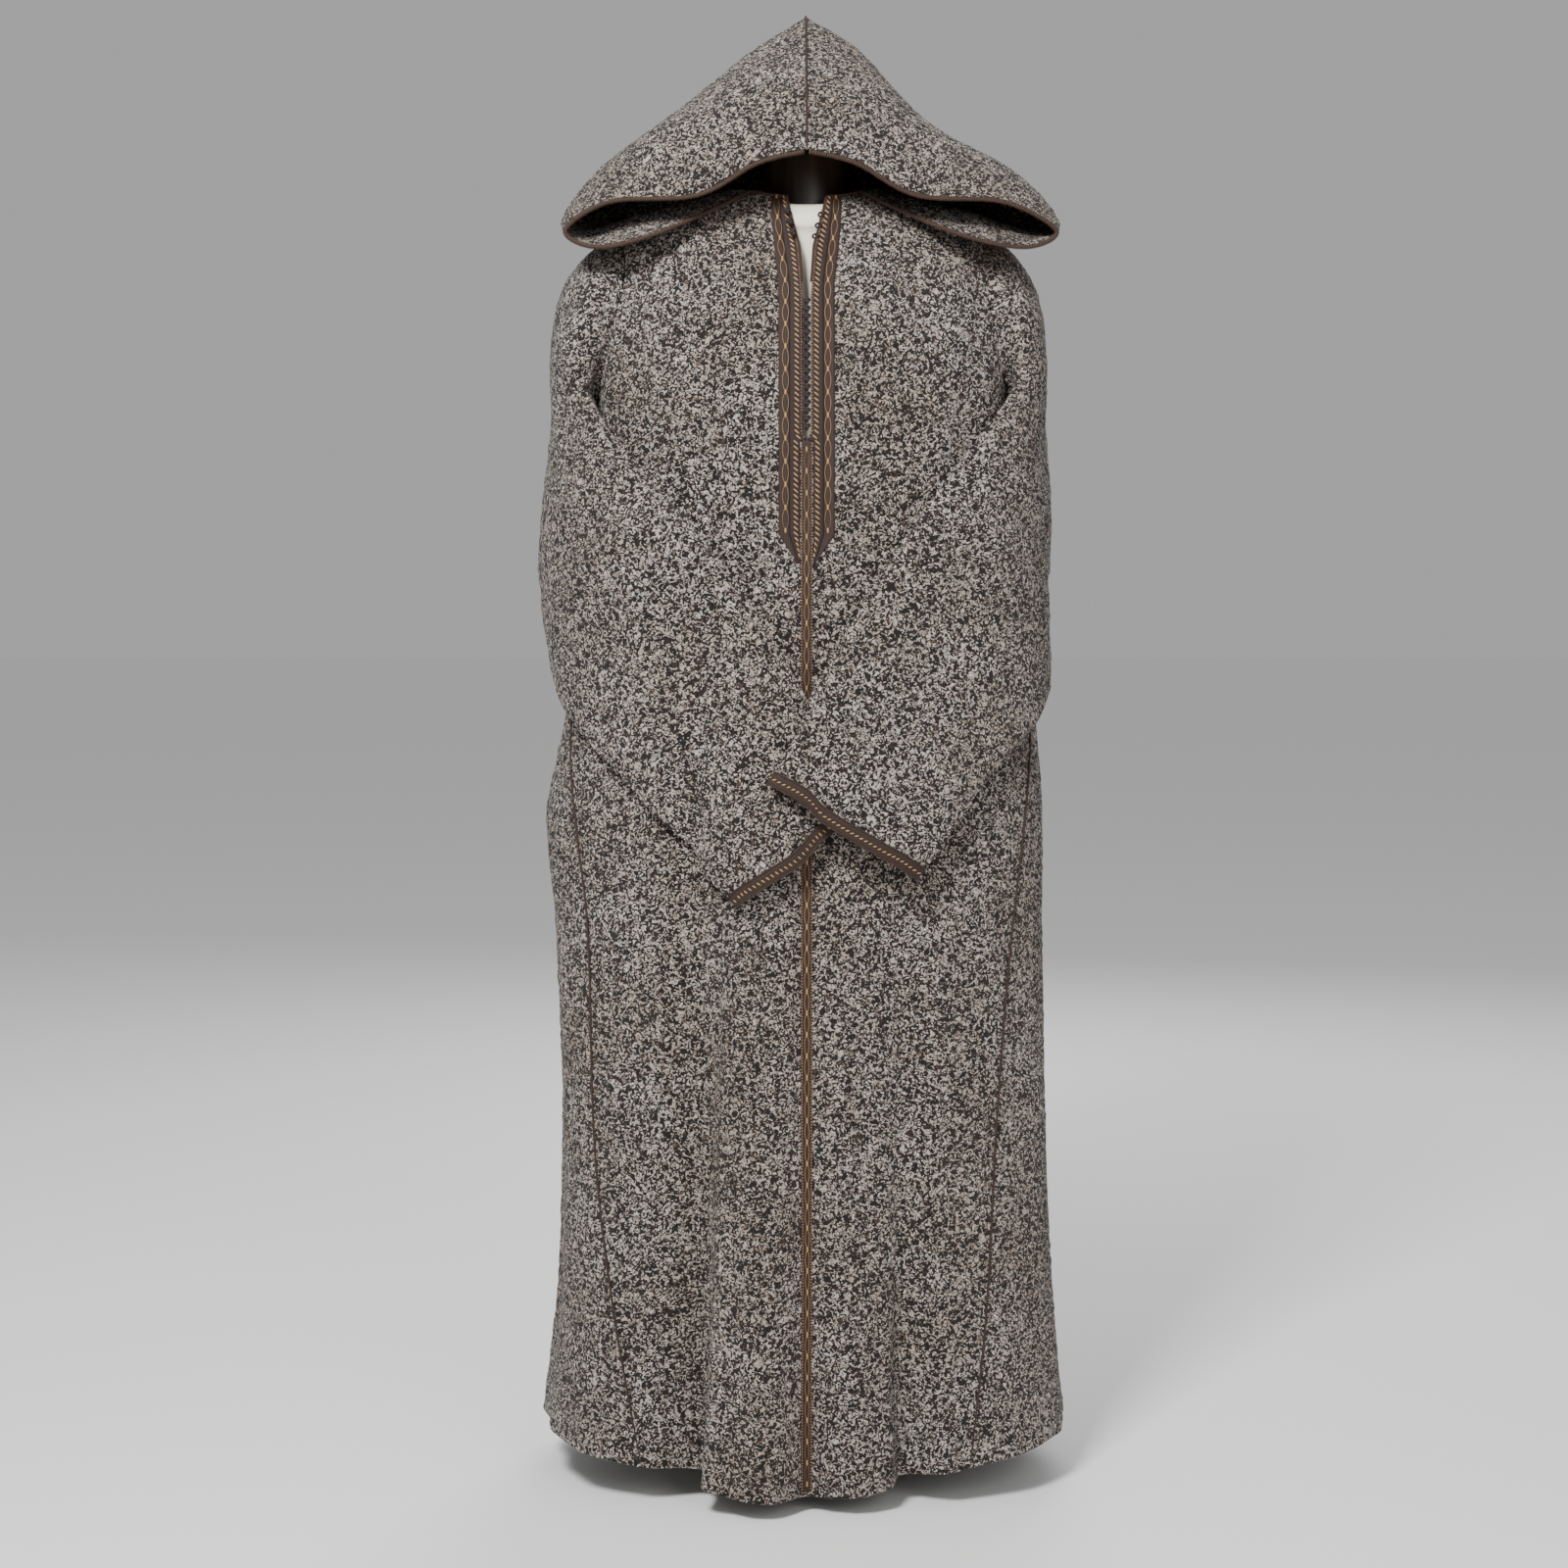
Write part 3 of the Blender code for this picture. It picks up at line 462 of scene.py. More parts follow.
def laid_grid(name, points):
    """A grid primitive laid on rows and columns of points."""
    rows, columns = points.shape[:2]
    bpy.ops.object.select_all(action="DESELECT")
    bpy.ops.mesh.primitive_grid_add(x_subdivisions=columns - 1, y_subdivisions=rows - 1, size=1.0)
    piece = bpy.context.object
    piece.name = name
    piece.data.name = name
    piece.data.vertices.foreach_set("co", points.astype(np.float32).reshape(-1))
    piece.data.update()
    return piece


def apply_modifier(piece, kind, **values):
    select_only(piece)
    modifier = piece.modifiers.new("shape", kind)
    for key, value in values.items():
        setattr(modifier, key, value)
    bpy.ops.object.modifier_apply(modifier=modifier.name)


def give_wall(piece, thickness):
    """Gives a sheet its thickness on the inner side, and shades it smooth but for its cut edge."""
    apply_modifier(piece, "SOLIDIFY", thickness=thickness, offset=-1.0)
    bpy.ops.object.shade_smooth_by_angle(angle=math.radians(60))


def finish_piece(piece, surface, slot, *nodes):
    """Gives a piece its material and place in the object."""
    piece.data.materials.clear()
    piece.data.materials.append(surface)
    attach(piece, "root")
    if nodes:
        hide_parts(*nodes)
    return piece


def nubs(shape):
    """Small uneven heights of nubby cloth, one for each point."""
    return rng.normal(0.0, NUB, shape)


def wool_piece(name, points, normals, surface, node, calm=1.0, tube=False):
    """A wool panel of its solid's form, with nubs, as a thin shell. Nubs are pressed flat under braids."""
    heights = nubs(points.shape[:2]) * calm
    if tube:
        heights[:, -1] = heights[:, 0]
    piece = laid_grid(name, points + normals * heights[..., None])
    if tube:
        in_edit_mode(piece, merge_doubles, faces_outward)
    give_wall(piece, CLOTH)
    return finish_piece(piece, surface, "wool_tweed", node)


# Creases: start and end as angle and height, width, depth. Positive stands out

BODY_CREASES = (
    ("right chest fold", -66, 1.300, -58, 1.120, 0.012, -0.004),
    ("left chest fold", 68, 1.290, 56, 1.110, 0.014, -0.004),
    ("right yoke pull", -20, 1.345, -55, 1.230, 0.022, 0.0022),
    ("left yoke pull", 22, 1.345, 50, 1.250, 0.020, 0.0020),
    ("right chest drag", -30, 1.240, -40, 1.060, 0.030, -0.0020),
    ("left chest drag", 34, 1.220, 24, 1.030, 0.028, -0.0018),
    ("right skirt deep fold", -31, 0.760, -36, 0.030, 0.016, -0.0085),
    ("right skirt ridge", -24, 0.660, -20, 0.100, 0.024, 0.0040),
    ("left skirt ripple", 24, 0.600, 20, 0.080, 0.026, -0.0040),
    ("left skirt ridge", 44, 0.640, 42, 0.070, 0.028, 0.0030),
    ("right side roll", -74, 0.600, -70, 0.090, 0.026, 0.0045),
    ("left side roll", 74, 0.640, 76, 0.090, 0.026, 0.0040),
    ("right side fold", -88, 0.700, -86, 0.060, 0.018, -0.0070),
    ("left side fold", 90, 0.720, 92, 0.060, 0.018, -0.0070),
    ("back yoke pull right", -165, 1.360, -130, 1.240, 0.024, 0.0040),
    ("back yoke pull left", 168, 1.350, 132, 1.220, 0.022, 0.0038),
    ("back drop right", -150, 1.180, -140, 0.700, 0.030, -0.0080),
    ("back drop left", 146, 1.160, 150, 0.760, 0.026, -0.0075),
    ("back middle", 178, 1.120, 172, 0.640, 0.032, 0.0060),
    ("back long fold right", -163, 0.900, -158, 0.060, 0.020, -0.0080),
    ("back long fold left", 160, 0.820, 164, 0.060, 0.022, -0.0075),
    ("back hem roll right", -122, 0.420, -118, 0.060, 0.024, 0.0055),
    ("back hem roll left", 122, 0.380, 127, 0.060, 0.022, 0.0050),
)
CHART_RADIUS = 0.20


def one_crease(across, down, run, width, depth):
    """Height of a crease with this run, at distances from its start."""
    along = np.clip((across * run[0] + down * run[1]) / (run @ run), 0, 1)
    distance = np.hypot(across - along * run[0], down - along * run[1])
    taper = np.sin(np.clip(0.12 + 0.80 * along, 0, 1) * math.pi) ** 0.7
    return depth * taper * np.exp(-((distance / width) ** 2))


def crease_height(angle, z):
    """Height of the body's creases at each point."""
    height = np.zeros(np.broadcast(angle, z).shape)
    turned = (angle + math.pi) % (2 * math.pi) - math.pi
    for _name, start_angle, start_z, end_angle, end_z, width, depth in BODY_CREASES:
        run = np.array([math.radians(end_angle - start_angle) * CHART_RADIUS, end_z - start_z])
        across = ((turned - math.radians(start_angle) + math.pi) % (2 * math.pi) - math.pi) * CHART_RADIUS
        height += one_crease(across, z - start_z, run, width, depth)
    return height


def cloth_waves(angle, z):
    """Slow unevenness of hanging wool."""
    first = np.sin(5.0 * angle + 3.1 * z + 1.0) * np.sin(7.3 * z + 2.0 * angle)
    second = np.sin(11.0 * angle - 6.0 * z) * np.sin(13.0 * z + 0.6)
    return 0.0011 * first + 0.0006 * second


def robe_frame(angle, level, lift=0.0):
    """Point and normal of the creased robe."""
    point, normal = body_frame(angle, level)
    z = point[..., 2]
    height = crease_height(angle, z) + cloth_waves(angle, z)
    return point + normal * (height + lift)[..., None], normal


def panel_rows(levels, inner, outer, columns, side=1):
    """Angles and levels in rows between a panel's two edges, mirrored on the right side."""
    first, last = (inner, outer) if side > 0 else (-outer, -inner)
    share = np.linspace(0, 1, columns + 1)
    angle = first[:, None] + (last - first)[:, None] * share
    level = np.broadcast_to(levels[:, None], angle.shape)
    return angle, level


def make_fronts(wool):
    levels = level_rows(0.0, NECK_LEVEL)
    for side, name in SIDES:
        z = body_surface(0.0, levels)[:, 2]
        inner = centre_angle(slit_distance(z), levels)
        outer = front_edge(side, levels)
        outer = outer - gap_angle(side * outer, levels)
        angle, level = panel_rows(levels, inner, outer, 44, side)
        points, normals = robe_frame(angle, level)
        z = points[..., 2]
        braided = np.where(z > PLACKET_BOTTOM_Z, outer_braid_edge(z), CENTRE_CALM_WIDTH)
        calm = np.where(np.abs(points[..., 0]) < braided, CALM_NUB, 1.0)
        piece = wool_piece(f"front_{name}_cloth", points, normals, wool, f"front_{name}", calm)


def make_back(wool):
    levels = level_rows(0.0, NECK_LEVEL)
    edge = back_edge(levels)
    left = edge + gap_angle(edge, levels)
    right = 2 * math.pi - edge - gap_angle(2 * math.pi - edge, levels)
    angle, level = panel_rows(levels, left, right, 78)
    points, normals = robe_frame(angle, level)
    piece = wool_piece("back_cloth", points, normals, wool, "back")


def side_slit(angle, z, back_angle, front_angle):
    """How far the right gore stands out where its back seam is left open."""
    along = np.cos(np.clip((z - SIDE_SLIT_Z) / SIDE_SLIT_HALF, -1, 1) * math.pi / 2) ** 2
    across = np.clip(1 - 3.0 * (angle - back_angle) / (front_angle - back_angle), 0, 1)
    return SIDE_SLIT_GAPE * along * across


def make_gores(wool):
    levels = level_rows(0.0, UNDERARM_LEVEL)
    for side, name in SIDES:
        front = front_edge(side, levels)
        back = back_edge(levels)
        front = front + gap_angle(side * front, levels)
        back = back - gap_angle(side * back, levels)
        angle, level = panel_rows(levels, front, back, 34, side)
        points, normals = robe_frame(angle, level)
        if side < 0:
            gape = side_slit(angle, points[..., 2], -back[:, None], -front[:, None])
            points = points + normals * gape[..., None]
        piece = wool_piece(f"gore_{name}_cloth", points, normals, wool, f"gore_{name}")


# Sleeves

RIGHT_SLEEVE_CREASES = (
    ("cap drop", 0.30, 0.25, 0.34, 2.2, 0.050, -0.0040),
    ("elbow break", 0.10, 2.15, 0.55, 2.75, 0.045, -0.0060),
    ("elbow roll", 0.12, 2.55, 0.62, 3.10, 0.045, 0.0050),
    ("second break", 0.30, 2.9, 0.85, 2.95, 0.050, -0.0050),
    ("forearm drag", 0.20, 3.3, 0.60, 4.7, 0.055, -0.0030),
    ("forearm roll", 0.45, 3.5, 0.75, 5.2, 0.055, 0.0025),
    ("upper drag", 0.55, 0.6, 0.75, 2.0, 0.060, -0.0040),
)
LEFT_SLEEVE_CREASES = (
    ("cap drop", 0.35, 0.20, 0.30, 2.0, 0.050, -0.0040),
    ("elbow break", 0.15, 2.30, 0.60, 2.60, 0.045, -0.0060),
    ("elbow roll", 0.10, 2.70, 0.55, 3.20, 0.045, 0.0050),
    ("second break", 0.35, 3.1, 0.85, 2.95, 0.050, -0.0045),
    ("forearm drag", 0.30, 3.5, 0.55, 5.0, 0.055, -0.0030),
    ("forearm roll", 0.60, 3.6, 0.75, 5.4, 0.055, 0.0025),
    ("upper drag", 0.60, 0.5, 0.70, 1.9, 0.060, -0.0040),
)
STATION_LENGTH = 0.095
HALF_ROUND_LENGTH = 0.21
SLEEVE_CREASE_SHARE = 0.35


def sleeve_values(table, place, there, bulge):
    """Angle, height and offset of one flattened ring, where place counts the stations."""
    row = smooth_rows([row[1:] for row in table], float(place))
    front_angle, front_z, back_angle, back_z, lift, depth = row
    angle = np.radians(front_angle + (back_angle - front_angle) * there)
    z = front_z + (back_z - front_z) * there
    return angle, z, lift + depth / 2 * (1 + bulge)


def armhole_loop(side, there, over):
    """Angles and heights of the armhole's edge, in the order of a sleeve's ring."""
    corner = UNDERARM_LEVEL + (SHOULDER_LEVEL - UNDERARM_LEVEL) / 3
    rising = np.linspace(corner, SHOULDER_LEVEL, 40)
    low = np.linspace(UNDERARM_LEVEL, corner, 20)
    front_under = float(front_edge(side, np.array(UNDERARM_LEVEL)))
    back_under = float(back_edge(np.array(UNDERARM_LEVEL)))
    top = np.concatenate([
        np.stack([front_edge(side, rising), rising], 1),
        np.stack([back_edge(rising[::-1]), rising[::-1]], 1)[1:],
    ])
    under = np.concatenate([
        np.stack([front_edge(side, low[::-1]), low[::-1]], 1),
        np.stack([np.linspace(front_under, back_under, 21), np.full(21, UNDERARM_LEVEL)], 1)[1:-1],
        np.stack([back_edge(low), low], 1),
    ])
    found = []
    for path in (top, under):
        heights = body_surface(side * path[:, 0], path[:, 1])[:, 2]
        run = np.hypot(np.diff(path[:, 0]) * CHART_RADIUS, np.diff(heights))
        length = np.concatenate([[0], np.cumsum(run)])
        wanted = there * length[-1]
        found.append((np.interp(wanted, length, path[:, 0]), np.interp(wanted, length, heights)))
    angle = np.where(over, found[0][0], found[1][0])
    z = np.where(over, found[0][1], found[1][1])
    middle_z = (z.max() + z.min()) / 2
    reach = np.hypot((angle - math.pi / 2) * CHART_RADIUS, z - middle_z)
    shrink = 1 - 1.5 * SEAM_GAP / reach
    return math.pi / 2 + (angle - math.pi / 2) * shrink, middle_z + (z - middle_z) * shrink


def sleeve_crease_height(place, there, over, creases):
    height = np.zeros(there.shape)
    for _name, start_there, start_place, end_there, end_place, width, depth in creases:
        run_across = (end_there - start_there) * HALF_ROUND_LENGTH
        run = np.array([run_across, (end_place - start_place) * STATION_LENGTH])
        across = (there - start_there) * HALF_ROUND_LENGTH
        down = (place - start_place) * STATION_LENGTH
        height += one_crease(across, down, run, width * SLEEVE_CREASE_SHARE, depth)
    edge = np.sin(there * math.pi) ** 0.5
    return np.where(over, height * edge, 0.0)


def sleeve_rings(side, table, creases):
    """Rows of a sleeve's points from the armhole to the cuff, without the wall."""
    steps = np.arange(SLEEVE_HALF_STEPS + 1) / SLEEVE_HALF_STEPS
    there = np.concatenate([steps, steps[-2::-1]])
    over = np.concatenate([np.ones(SLEEVE_HALF_STEPS + 1, bool), np.zeros(SLEEVE_HALF_STEPS, bool)])
    over[-1] = True
    bulge = np.where(over, 1, -1) * (1 - np.abs(2 * there - 1) ** 3) ** (1 / RING_SQUARENESS)
    hole_angle, hole_z = armhole_loop(side, there, over)
    first = sleeve_values(table, 0.0, there, bulge)
    rows = []
    for share in np.linspace(0, 1, CAP_ROWS, endpoint=False) ** 1.3:
        rise = 1 - (1 - share) ** CAP_RISE
        angle = hole_angle + (first[0] - hole_angle) * share
        z = hole_z + (first[1] - hole_z) * share
        rows.append((angle, z, first[2] * rise, share - 1.0))
    last = len(table) - 1
    for place in np.linspace(0, last, SLEEVE_ROWS_A_STATION * last + 1):
        rows.append((*sleeve_values(table, place, there, bulge), place))
    points = []
    for angle, z, offset, place in rows:
        crease = sleeve_crease_height(place + 1.0, there, over, creases)
        turned = side * angle
        points.append(body_point(turned, level_at(turned, z), offset + crease))
    return np.array(points)


def ring_normals(points, side):
    """Outward normals of rings whose last column repeats the first."""
    ring = points[:, :-1]
    around = np.roll(ring, -1, axis=1) - np.roll(ring, 1, axis=1)
    along = np.gradient(ring, axis=0)
    normals = unit(np.cross(around, along)) * -side
    return np.concatenate([normals, normals[:, :1]], axis=1)


def make_sleeves(wool):
    """The two sleeves. Gives back their points and normals for the cuffs' braids."""
    made = {}
    for side, name, table in SLEEVES:
        creases = RIGHT_SLEEVE_CREASES if side < 0 else LEFT_SLEEVE_CREASES
        points = sleeve_rings(side, table, creases)
        normals = ring_normals(points, side)
        calm = np.ones(points.shape[:2])
        calm[-CUFF_CALM_ROWS:] = CALM_NUB
        piece = wool_piece(f"sleeve_{name}_cloth", points, normals, wool, f"sleeve_{name}", calm, tube=True)
        made[side] = (points, normals)
    return made


# Hood


def hood_points(side):
    table = []
    for _name, neck_angle, places in HOOD:
        neck = body_point(side * math.radians(neck_angle), np.array(HOOD_NECK_LEVEL), HOOD_NECK_LIFT)
        table.append([(abs(neck[0]), neck[1], neck[2]), *places])
    table = np.array(table, float)
    if side > 0:
        table[:3, 2:4, 0] += HOOD_WIDER_LEFT
    else:
        table[1:4, 5, 0] += HOOD_FULLER_RIGHT
        table[1:4, 5, 2] += HOOD_FULLER_RIGHT
    table[1:4, 4, 2] += HOOD_SLOPE_LIFT
    table[1:4, 5, 0] += HOOD_SLOPE_LIFT
    table[1:4, 5, 2] += HOOD_SLOPE_LIFT / 2
    grid = smooth_rows(table, np.linspace(0, len(table) - 1, HOOD_ROWS + 1))
    grid = np.moveaxis(grid, 1, 0)
    grid = np.moveaxis(smooth_rows(grid, np.linspace(0, len(grid) - 1, HOOD_COLUMNS + 1)), 0, 1)
    grid[..., 0] *= side
    return grid


def hold_to_side(points, side):
    points[..., 0] = side * np.maximum(side * points[..., 0], SEAM_GAP / 2)


def make_hood(wool):
    made = {}
    for side, name in SIDES:
        points = hood_points(side)
        normals = unit(np.cross(np.gradient(points, axis=1), np.gradient(points, axis=0))) * -side
        hold_to_side(points, side)
        ordered = points if side < 0 else points[:, ::-1]
        ordered_normals = normals if side < 0 else normals[:, ::-1]
        piece = wool_piece(f"hood_{name}_cloth", ordered, ordered_normals, wool, f"hood_{name}")
        made[side] = (points, normals)
    return made


# Braids, cords and stitches


def read_grid(grid, row, column):
    """Values of a grid read between its rows and columns."""
    rows, columns = grid.shape[:2]
    row = np.clip(row, 0, rows - 1)
    column = np.clip(column, 0, columns - 1)
    low_row = np.minimum(row.astype(int), rows - 2)
    low_column = np.minimum(column.astype(int), columns - 2)
    up = (row - low_row)[..., None]
    along = (column - low_column)[..., None]
    near = grid[low_row, low_column] * (1 - along) + grid[low_row, low_column + 1] * along
    far = grid[low_row + 1, low_column] * (1 - along) + grid[low_row + 1, low_column + 1] * along
    return near * (1 - up) + far * up


def map_in_metres(piece, points):
    """Lays the piece's own map out in metres: across the strip, and along it."""
    across = np.stack([lengths_along(row) for row in points])
    along = np.broadcast_to(lengths_along(points.mean(axis=1))[:, None], across.shape)
    places = np.stack([across, along], axis=-1).reshape(-1, 2)
    corners = np.empty(len(piece.data.loops), np.int32)
    piece.data.loops.foreach_get("vertex_index", corners)
    piece.data.uv_layers[0].data.foreach_set("uv", places[corners].astype(np.float32).reshape(-1))


def laid_braid(name, points, surface, node, closed=False):
    """A braid as a thin shell laid on the cloth, with its own map."""
    piece = laid_grid(name, points)
    map_in_metres(piece, points)
    if closed:
        in_edit_mode(piece, merge_doubles, faces_outward)
    give_wall(piece, BRAID_THICKNESS)
    return finish_piece(piece, surface, "silk_braid", node)


def joined_grids(name, points):
    """Copies of one grid primitive, made with an array and laid on their own points."""
    piece = laid_grid(name, points[0])
    if len(points) > 1:
        apply_modifier(
            piece, "ARRAY", count=len(points), use_relative_offset=False,
            use_constant_offset=True, constant_offset_displace=(0.0, 0.0, 3.0),
        )
    piece.data.vertices.foreach_set("co", points.astype(np.float32).reshape(-1))
    piece.data.update()
    return piece


def round_off(piece):
    """Closes a round piece and shades it smooth."""
    in_edit_mode(piece, merge_doubles, faces_outward)
    select_only(piece)
    bpy.ops.object.shade_smooth()
    return piece


def tube_ring(run, normals, sides, flatness=1.0):
    """Directions from a thread's middle to its surface, all round it, at each point of its run."""
    aside = unit(np.cross(run, normals))
    upward = np.cross(aside, run)
    turn = np.linspace(0, 2 * math.pi, sides + 1)
    across = aside[..., None, :] * np.cos(turn)[:, None]
    return across + upward[..., None, :] * (flatness * np.sin(turn))[:, None]


def threads(name, paths, normals, radius, sides=6, flatness=1.0, closed=False):
    """Threads along paths: round or flattened tubes with rounded ends, joined as one piece."""
    run = unit(np.gradient(paths, axis=1))
    if closed:
        run[:, 0] = unit(paths[:, 1] - paths[:, -2])
        run[:, -1] = run[:, 0]
    share = np.linspace(-1, 1, paths.shape[1])
    width = np.full(len(share), float(radius)) if closed else radius * np.sqrt(1 - share**8)
    ring = tube_ring(run, normals, sides, flatness)
    return round_off(joined_grids(name, paths[:, :, None] + ring * width[None, :, None, None]))


def long_thread(name, path, normals, radius, sides=8):
    """One long thread that tapers only over its last few millimetres."""
    length = lengths_along(path)
    ends = np.minimum(length, length[-1] - length) / (2 * radius)
    width = radius * np.sqrt(np.clip(1 - (1 - np.clip(ends, 0, 1)) ** 2, 0, 1))
    ring = tube_ring(unit(np.gradient(path, axis=0)), normals, sides)
    return round_off(laid_grid(name, path[:, None] + ring * width[:, None, None]))


def centre_levels(low_z, high_z, pitch):
    """Levels at an even pitch up the front centre."""
    fine = np.linspace(0.0, NECK_LEVEL, FINE_LEVELS)
    points = body_surface(0.0, fine)
    inside = (points[:, 2] >= low_z) & (points[:, 2] <= high_z)
    return at_even_pitch(fine[inside], lengths_along(points[inside]), pitch)


def centre_z(level):
    return body_surface(0.0, level)[..., 2]


def braid_start(z):
    """Distance from the front centre where the inner braid begins."""
    beside = np.where(z < CENTRE_BRAID_TOP_Z, CENTRE_BRAID_HALF_WIDTH, 0.0)
    return np.maximum(slit_distance(z), beside) + SEAM_GAP


def place_on_front(side, distance, level, lift):
    """Point and normal on one front at a distance from its centre."""
    distance, level = np.broadcast_arrays(distance, level)
    return robe_frame(side * centre_angle(distance, level), level, lift)


# Cross section of a braid: share of its width, and height off the cloth
STRIP_SHARES = np.array((0.0, 0.07, 0.16, 0.34, 0.50, 0.66, 0.84, 0.93, 1.0))
STRIP_LIFTS = np.array((0.0002, 0.0011, 0.0014, 0.0013, 0.0012, 0.0013, 0.0014, 0.0011, 0.0002))


def braid_strip(name, side, levels, start, end, surface, node, scallop=0.0):
    """A flat braid between two distances from the front centre, with a scalloped outer edge."""
    z = centre_z(levels)
    length = lengths_along(body_surface(0.0, levels))
    edge = end(z) + scallop * (np.abs(np.sin(length * math.pi / SCALLOP_PITCH)) - 1)
    first = start(z)
    distance = first[:, None] + (edge - first)[:, None] * STRIP_SHARES
    level = np.broadcast_to(levels[:, None], distance.shape)
    points, _normals = place_on_front(side, distance, level, STRIP_LIFTS)
    return laid_braid(name, points if side > 0 else points[:, ::-1], surface, node)


def strokes(side, level, distance, rise, spread, lift, count=5):
    """Paths of short stitches on one front: rise is up the front, spread is away from the centre."""
    spread = np.broadcast_to(np.asarray(spread, float), level.shape)[:, None]
    share = np.linspace(-0.5, 0.5, count)
    fine = np.linspace(0.0, NECK_LEVEL, FINE_LEVELS)
    heights = centre_z(fine)
    z = centre_z(level)[:, None] + rise * share
    levels = np.interp(z, heights, fine)
    bulge = STITCH_BULGE * np.cos(share * math.pi)
    return place_on_front(side, distance[:, None] + spread * share, levels, lift + bulge)


def sewn_thread(name, made, radius, surface):
    paths = np.concatenate([paths for paths, _normals in made])
    normals = np.concatenate([normals for _paths, normals in made])
    piece = threads(name, paths, normals, radius, flatness=STITCH_FLATNESS)
    return finish_piece(piece, surface, "silk_braid")


def chain_paths(side, levels, middle, swing, knots):
    """Two thin strands that part and meet again at the thick stitches."""
    wave = np.abs(np.sin(np.interp(levels, knots, np.arange(len(knots))) * math.pi)) ** 0.8
    made = []
    for direction in (-1, 1):
        distance = middle + direction * swing * wave
        points, normals = place_on_front(side, distance, levels, DASH_LIFT)
        made.append((points[None], normals[None]))
    return made


def chain_middle(z):
    """Distance from the front centre to the chain on the outer braid."""
    return inner_braid_edge(z) + CHAIN_SHARE * (outer_braid_edge(z) - inner_braid_edge(z))


def thick_dashes(side, level, middle):
    return strokes(side, level, middle, DASH_LENGTH, 0.0, DASH_LIFT, count=7)


def edge_dots(side, level, distance):
    return strokes(side, level, distance, DOT_LENGTH, 0.0, DOT_LIFT)


def make_placket(braid, plain, gold, old_gold, pale):
    """Braids beside the slit and down the centre, with their gold stitches."""
    above = centre_levels(PLACKET_BOTTOM_Z, PLACKET_TOP_Z, STRIP_STEP)
    top_z = PLACKET_TOP_Z - PLACKET_END_GAP
    strips = (
        ("inner", braid_start, inner_braid_edge, plain, 0.0),
        ("outer", inner_braid_edge, outer_braid_edge, braid, SCALLOP),
    )
    thick = []
    slanted = []
    strands = []
    dotted = []
    for side, name in SIDES:
        for kind, start, end, surface, scallop in strips:
            node = f"{kind}_braid_{name}"
            strip = braid_strip(f"{node}_plait", side, above, start, end, surface, node, scallop)
        level = centre_levels(SLANT_LOWEST_Z, top_z, SLANT_PITCH)
        z = centre_z(level)
        near = braid_start(z)
        far = inner_braid_edge(z) - PLAIN_STRIP
        reach = np.clip((far - near) * SLANT_SHARE, SLANT_SHORTEST, SLANT_PITCH)
        slanted.append(strokes(side, level, (near + far) / 2, SLANT_RISE, side * reach, SLANT_LIFT))
        knots = centre_levels(PLACKET_STITCHES_Z, top_z, CHAIN_PITCH)
        thick.append(thick_dashes(side, knots, chain_middle(centre_z(knots))))
        level = centre_levels(PLACKET_STITCHES_Z, top_z, STRAND_STEP)
        strands += chain_paths(side, level, chain_middle(centre_z(level)), CHAIN_SWING, knots)
        level = centre_levels(CENTRE_BRAID_TOP_Z + PLACKET_END_GAP, top_z, DOT_PITCH)
        dotted.append(edge_dots(side, level, slit_distance(centre_z(level)) + DOT_INSET))
        level = centre_levels(CENTRE_BRAID_LOW_Z, CENTRE_BRAID_TOP_Z - PLACKET_END_GAP / 2, DOT_PITCH)
        dotted.append(edge_dots(side, level, np.full(len(level), CENTRE_BRAID_HALF_WIDTH - DOT_INSET)))
    make_centre_braid(centre_levels(CENTRE_BRAID_LOW_Z, CENTRE_BRAID_TOP_Z, STRIP_STEP), braid)
    low_z = CENTRE_BRAID_LOW_Z + CENTRE_END_GAP
    high_z = CENTRE_BRAID_TOP_Z - CENTRE_END_GAP
    knots = centre_levels(low_z, high_z, CHAIN_PITCH)
    thick.append(thick_dashes(1, knots, np.zeros(len(knots))))
    level = centre_levels(low_z, high_z, STRAND_STEP)
    centre_strands = chain_paths(1, level, 0.0, CENTRE_CHAIN_SWING, knots)
    sewn_thread("placket_slanted_stitches", slanted, SLANT_RADIUS, gold)
    sewn_thread("placket_thick_stitches", thick, DASH_RADIUS, gold)
    sewn_thread("placket_edge_stitches", dotted, DOT_RADIUS, pale)
    sewn_thread("outer_braid_gold_strands", strands, STRAND_RADIUS, old_gold)
    sewn_thread("centre_braid_gold_strands", centre_strands, STRAND_RADIUS, old_gold)


def make_centre_braid(levels, braid):
    share = STRIP_SHARES * 2 - 1
    distance = np.abs(share) * (CENTRE_BRAID_HALF_WIDTH - SEAM_GAP)
    length = lengths_along(body_surface(0.0, levels))
    picot = 1 + 0.08 * (np.abs(np.sin(length * math.pi / SCALLOP_PITCH)) - 1)
    angle = np.sign(share) * centre_angle(distance * picot[:, None], levels[:, None])
    level = np.broadcast_to(levels[:, None], angle.shape)
    points, _normals = robe_frame(angle, level, STRIP_LIFTS)
    piece = laid_braid("centre_braid_plait", points, braid, "centre_braid")


